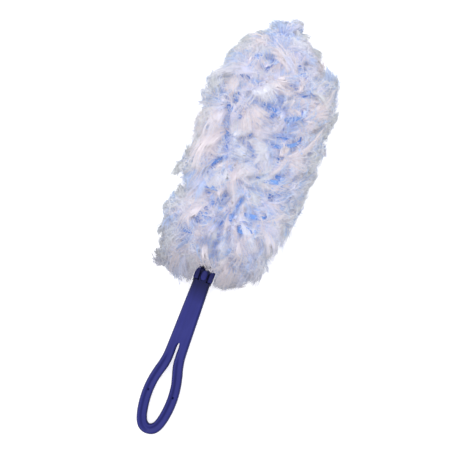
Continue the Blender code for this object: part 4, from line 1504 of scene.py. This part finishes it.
def make_strips(label, sign):
    rng = np.random.default_rng(700 + sign)
    rows, faces, total, area = [], [], 0, 0.0
    stations = 18
    share = np.linspace(0, 1, stations)
    lanes = np.arange(20.0, 188.0, STRIP_PITCH)
    for y in lanes:
        for side in (-1, 1):
            width = np.interp(y, SIDE_Y, LEFT_W if side < 0 else RIGHT_W)
            reach = (width - BAND_HALF_W) * rng.uniform(0.74, 0.9)
            fan = (y - 60) / 130 * 0.9 + rng.normal(0, 0.12)
            x = side * (BAND_HALF_W + reach * share)
            ys = y + reach * share**1.3 * math.tan(np.clip(fan, -0.6, 0.75))
            ys = ys + rng.normal(0, 1.2) * np.sin(share * math.pi * 1.5) * share
            ys = np.clip(ys, 4, 204)
            surface, way = to_surface(np.stack([x, ys, np.full(stations, sign * 20.0)], -1))
            shown = rng.uniform() < (0.1 if sign > 0 else 0.14)
            inset = 12.0 - 3.5 * share
            if shown:  # some strips come up between the tufts
                inset = 12.0 - rng.uniform(10.4, 11.4) * np.sin(
                    math.pi * np.clip(share * rng.uniform(1.0, 1.4), 0, 1)
                )
            middle = surface - way * inset[:, None]
            seat = smoothstep((0.2 - share) / 0.2)
            middle[:, 2] = np.where(
                np.abs(middle[:, 2]) < 4.2, sign * 4.2, middle[:, 2]
            ) * (1 - seat) + sign * 4.2 * seat
            tangent = unit(np.gradient(middle, axis=0))
            up = unit(way - (way * tangent).sum(-1, keepdims=True) * tangent)
            across = np.cross(tangent, up)
            twist = (rng.normal(0, 0.9) if shown else rng.normal(0, 0.3)) * share**1.2
            cos, sin = np.cos(twist)[:, None], np.sin(twist)[:, None]
            turned, face = across * cos + up * sin, up * cos - across * sin
            rows.append(ribbon_rows(middle, turned, face, STRIP_W, 0.22).reshape(-1, 3))
            faces.append(ribbon_faces(total, stations))
            total += stations * 4
            area += STRIP_W * np.linalg.norm(np.diff(middle, axis=0), axis=1).sum()
    if sign > 0:  # parts of strips that lie open in the gaps
        for line, half, depth in GAPS:
            if depth < 7:
                continue
            spots = seen(*np.array(line, float).T)
            run = np.concatenate([[0], np.cumsum(np.linalg.norm(np.diff(spots, axis=0), axis=1))])
            reach = np.linspace(-1.2, run[-1] + 1.2, 10)
            first, last = unit(spots[1] - spots[0]), unit(spots[-1] - spots[-2])
            middle = np.column_stack([np.interp(reach, run, spots[:, i]) for i in range(3)])
            middle[0] -= first * 1.2
            middle[-1] += last * 1.2
            middle[:, 2] = np.maximum(middle[:, 2] - 0.98 * depth, 4.8)
            middle[[0, -1], 2] -= 1.0
            middle[:, 2] = np.maximum(middle[:, 2], 4.6)
            tangent = unit(np.gradient(middle, axis=0))
            across = unit(np.cross(tangent, [0.0, 0.0, 1.0]))
            lean = rng.normal(0, 0.35) + rng.normal(0, 0.3) * np.linspace(-1, 1, 10)[:, None]
            face = np.cross(across, tangent)
            across, face = across * np.cos(lean) + face * np.sin(lean), face * np.cos(lean) - across * np.sin(lean)
            width = min(half, STRIP_W)
            rows.append(ribbon_rows(middle, across, face, width, 0.22).reshape(-1, 3))
            faces.append(ribbon_faces(total, 10))
            total += 40
            area += width * (run[-1] + 2.4)
    # the band along the seam that the strips hang from
    ys = np.linspace(18, 190, 60)
    middle = np.column_stack([np.zeros(60), ys, np.full(60, sign * 4.2)])
    across = np.tile([1.0, 0, 0], (60, 1))
    face = np.tile([0, 0, 1.0], (60, 1))
    rows.append(ribbon_rows(middle, across, face, BAND_HALF_W * 2.1, 0.22).reshape(-1, 3))
    faces.append(ribbon_faces(total, 60))
    area += BAND_HALF_W * 2.1 * 172
    mesh = mesh_of(f"strips_{label}", lay_down(np.vstack(rows)), np.vstack(faces))
    mesh.materials.append(STRIP_SHEET_BLUE_AND_SHADE)
    mesh.set_sharp_from_angle(angle=math.radians(50))
    piece = new_object(f"strips_{label}", mesh)
    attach(piece, "refill")
    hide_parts(f"slit_sheet_{label}")
    print("strips", label, "area mm2", round(area), "of", 98 * 172)


# --- the sleeve: two sheets sealed along the middle and both edges -------------------------------
SLEEVE_Y, SLEEVE_HALF_W = (16.5, 184.0), 18.0


def make_sleeve(label, sign):
    xs = np.linspace(-SLEEVE_HALF_W, SLEEVE_HALF_W, 97)
    ys = np.linspace(*SLEEVE_Y, 150)
    x, y = np.meshgrid(xs, ys)
    # flat seams at the middle and edges, and a rounded pocket between them
    pocket = smoothstep((np.abs(x) - 1.3) / 2.0) * smoothstep((16.6 - np.abs(x)) / 2.0)
    inner = 0.17 + 1.85 * pocket
    wrinkle = pocket * (
        0.10 * np.sin(y * 0.9 + x * 0.5) * np.sin(y * 0.23 + 1.0) + 0.06 * np.sin(y * 2.3 - x)
    )
    inner = inner + np.maximum(wrinkle, -0.04)
    # the rows of small bonded dots along the seams
    dots = 0.5 + 0.5 * np.cos(y * math.pi)
    on_seam = np.exp(-((np.abs(x) / 0.5) ** 2)) + np.exp(-(((np.abs(x) - 17.3) / 0.4) ** 2))
    sheet = 0.46 - 0.2 * dots * on_seam
    frayed = np.clip((np.abs(x) - 17.6) / 0.4, 0, 1) * 0.12 * np.sin(y * 3.1 + sign)
    x = x + np.sign(x) * frayed
    under = np.stack([x, y, sign * inner], -1)
    over = np.stack([x, y, sign * (inner + sheet)], -1)
    rows, cols = x.shape
    points = to_world(np.vstack([over.reshape(-1, 3), under.reshape(-1, 3)]))
    index = np.arange(rows * cols).reshape(rows, cols)
    a, b, c, d = index[:-1, :-1], index[:-1, 1:], index[1:, 1:], index[1:, :-1]
    shift = rows * cols
    faces = [
        np.stack([a, b, c, d], -1).reshape(-1, 4),
        np.stack([a, d, c, b], -1).reshape(-1, 4) + shift,
    ]
    for line in (index[0], index[-1][::-1], index[:, 0][::-1], index[:, -1]):
        faces.append(
            np.stack([line[:-1], line[:-1] + shift, line[1:] + shift, line[1:]], -1).reshape(-1, 4)
        )
    quads = np.vstack(faces)
    if sign < 0:
        quads = quads[:, ::-1]
    mesh = mesh_of(f"sleeve_{label}", points, quads)
    mesh.materials.append(SLEEVE_SHEET)
    piece = new_object(f"sleeve_{label}", mesh)
    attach(piece, "refill")
    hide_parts(f"sleeve_sheet_{label}")


for label, sign in (("upper", 1), ("lower", -1)):
    print("tufts", label, make_tufts(label, sign))
    print("inner", label, make_under_layer(
        label, sign, "inner_tufts", f"tow_white_inner_{label}", 11.5, 3.6, WHITE_FIBRE,
        "white_fibre", (33, 45), 200,
    ))
    print("blue", label, make_under_layer(
        label, sign, "blue_tufts", f"tow_blue_{label}", 11.5, 5.4, BLUE_FIBRE,
        "blue_fibre", (8, 56), 300,
    ))
    make_filaments("filaments", label, sign, 400 if sign > 0 else 160, 500, (0.26, 0.42), 2.6)
    make_filaments("arcs", label, sign, 260 if sign > 0 else 60, 520, (0.4, 0.55), 4.2)
    make_filaments(
        "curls", label, sign, 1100 if sign > 0 else 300, 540, (0.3, 0.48), 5.6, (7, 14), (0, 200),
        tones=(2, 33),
    )  # fmt: skip
    if sign > 0:
        make_filaments(
            "neck_curls", label, sign, 150, 560, (0.36, 0.52), 7.0, (7, 12), (4, 22), 13, (10, 33)
        )
print("triangles", sum(COUNTS.values()), "most", max(COUNTS.values()))
for label, sign in (("upper", 1), ("lower", -1)):
    make_strips(label, sign)
    make_sleeve(label, sign)
for label, sign in (("upper", 1), ("lower", -1)):
    make_core(label, sign)
    for node in ("tow_white_outer", "tow_white_inner", "tow_blue", "slit_sheet"):
        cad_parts[f"{node}_{label}"].hide_render = True
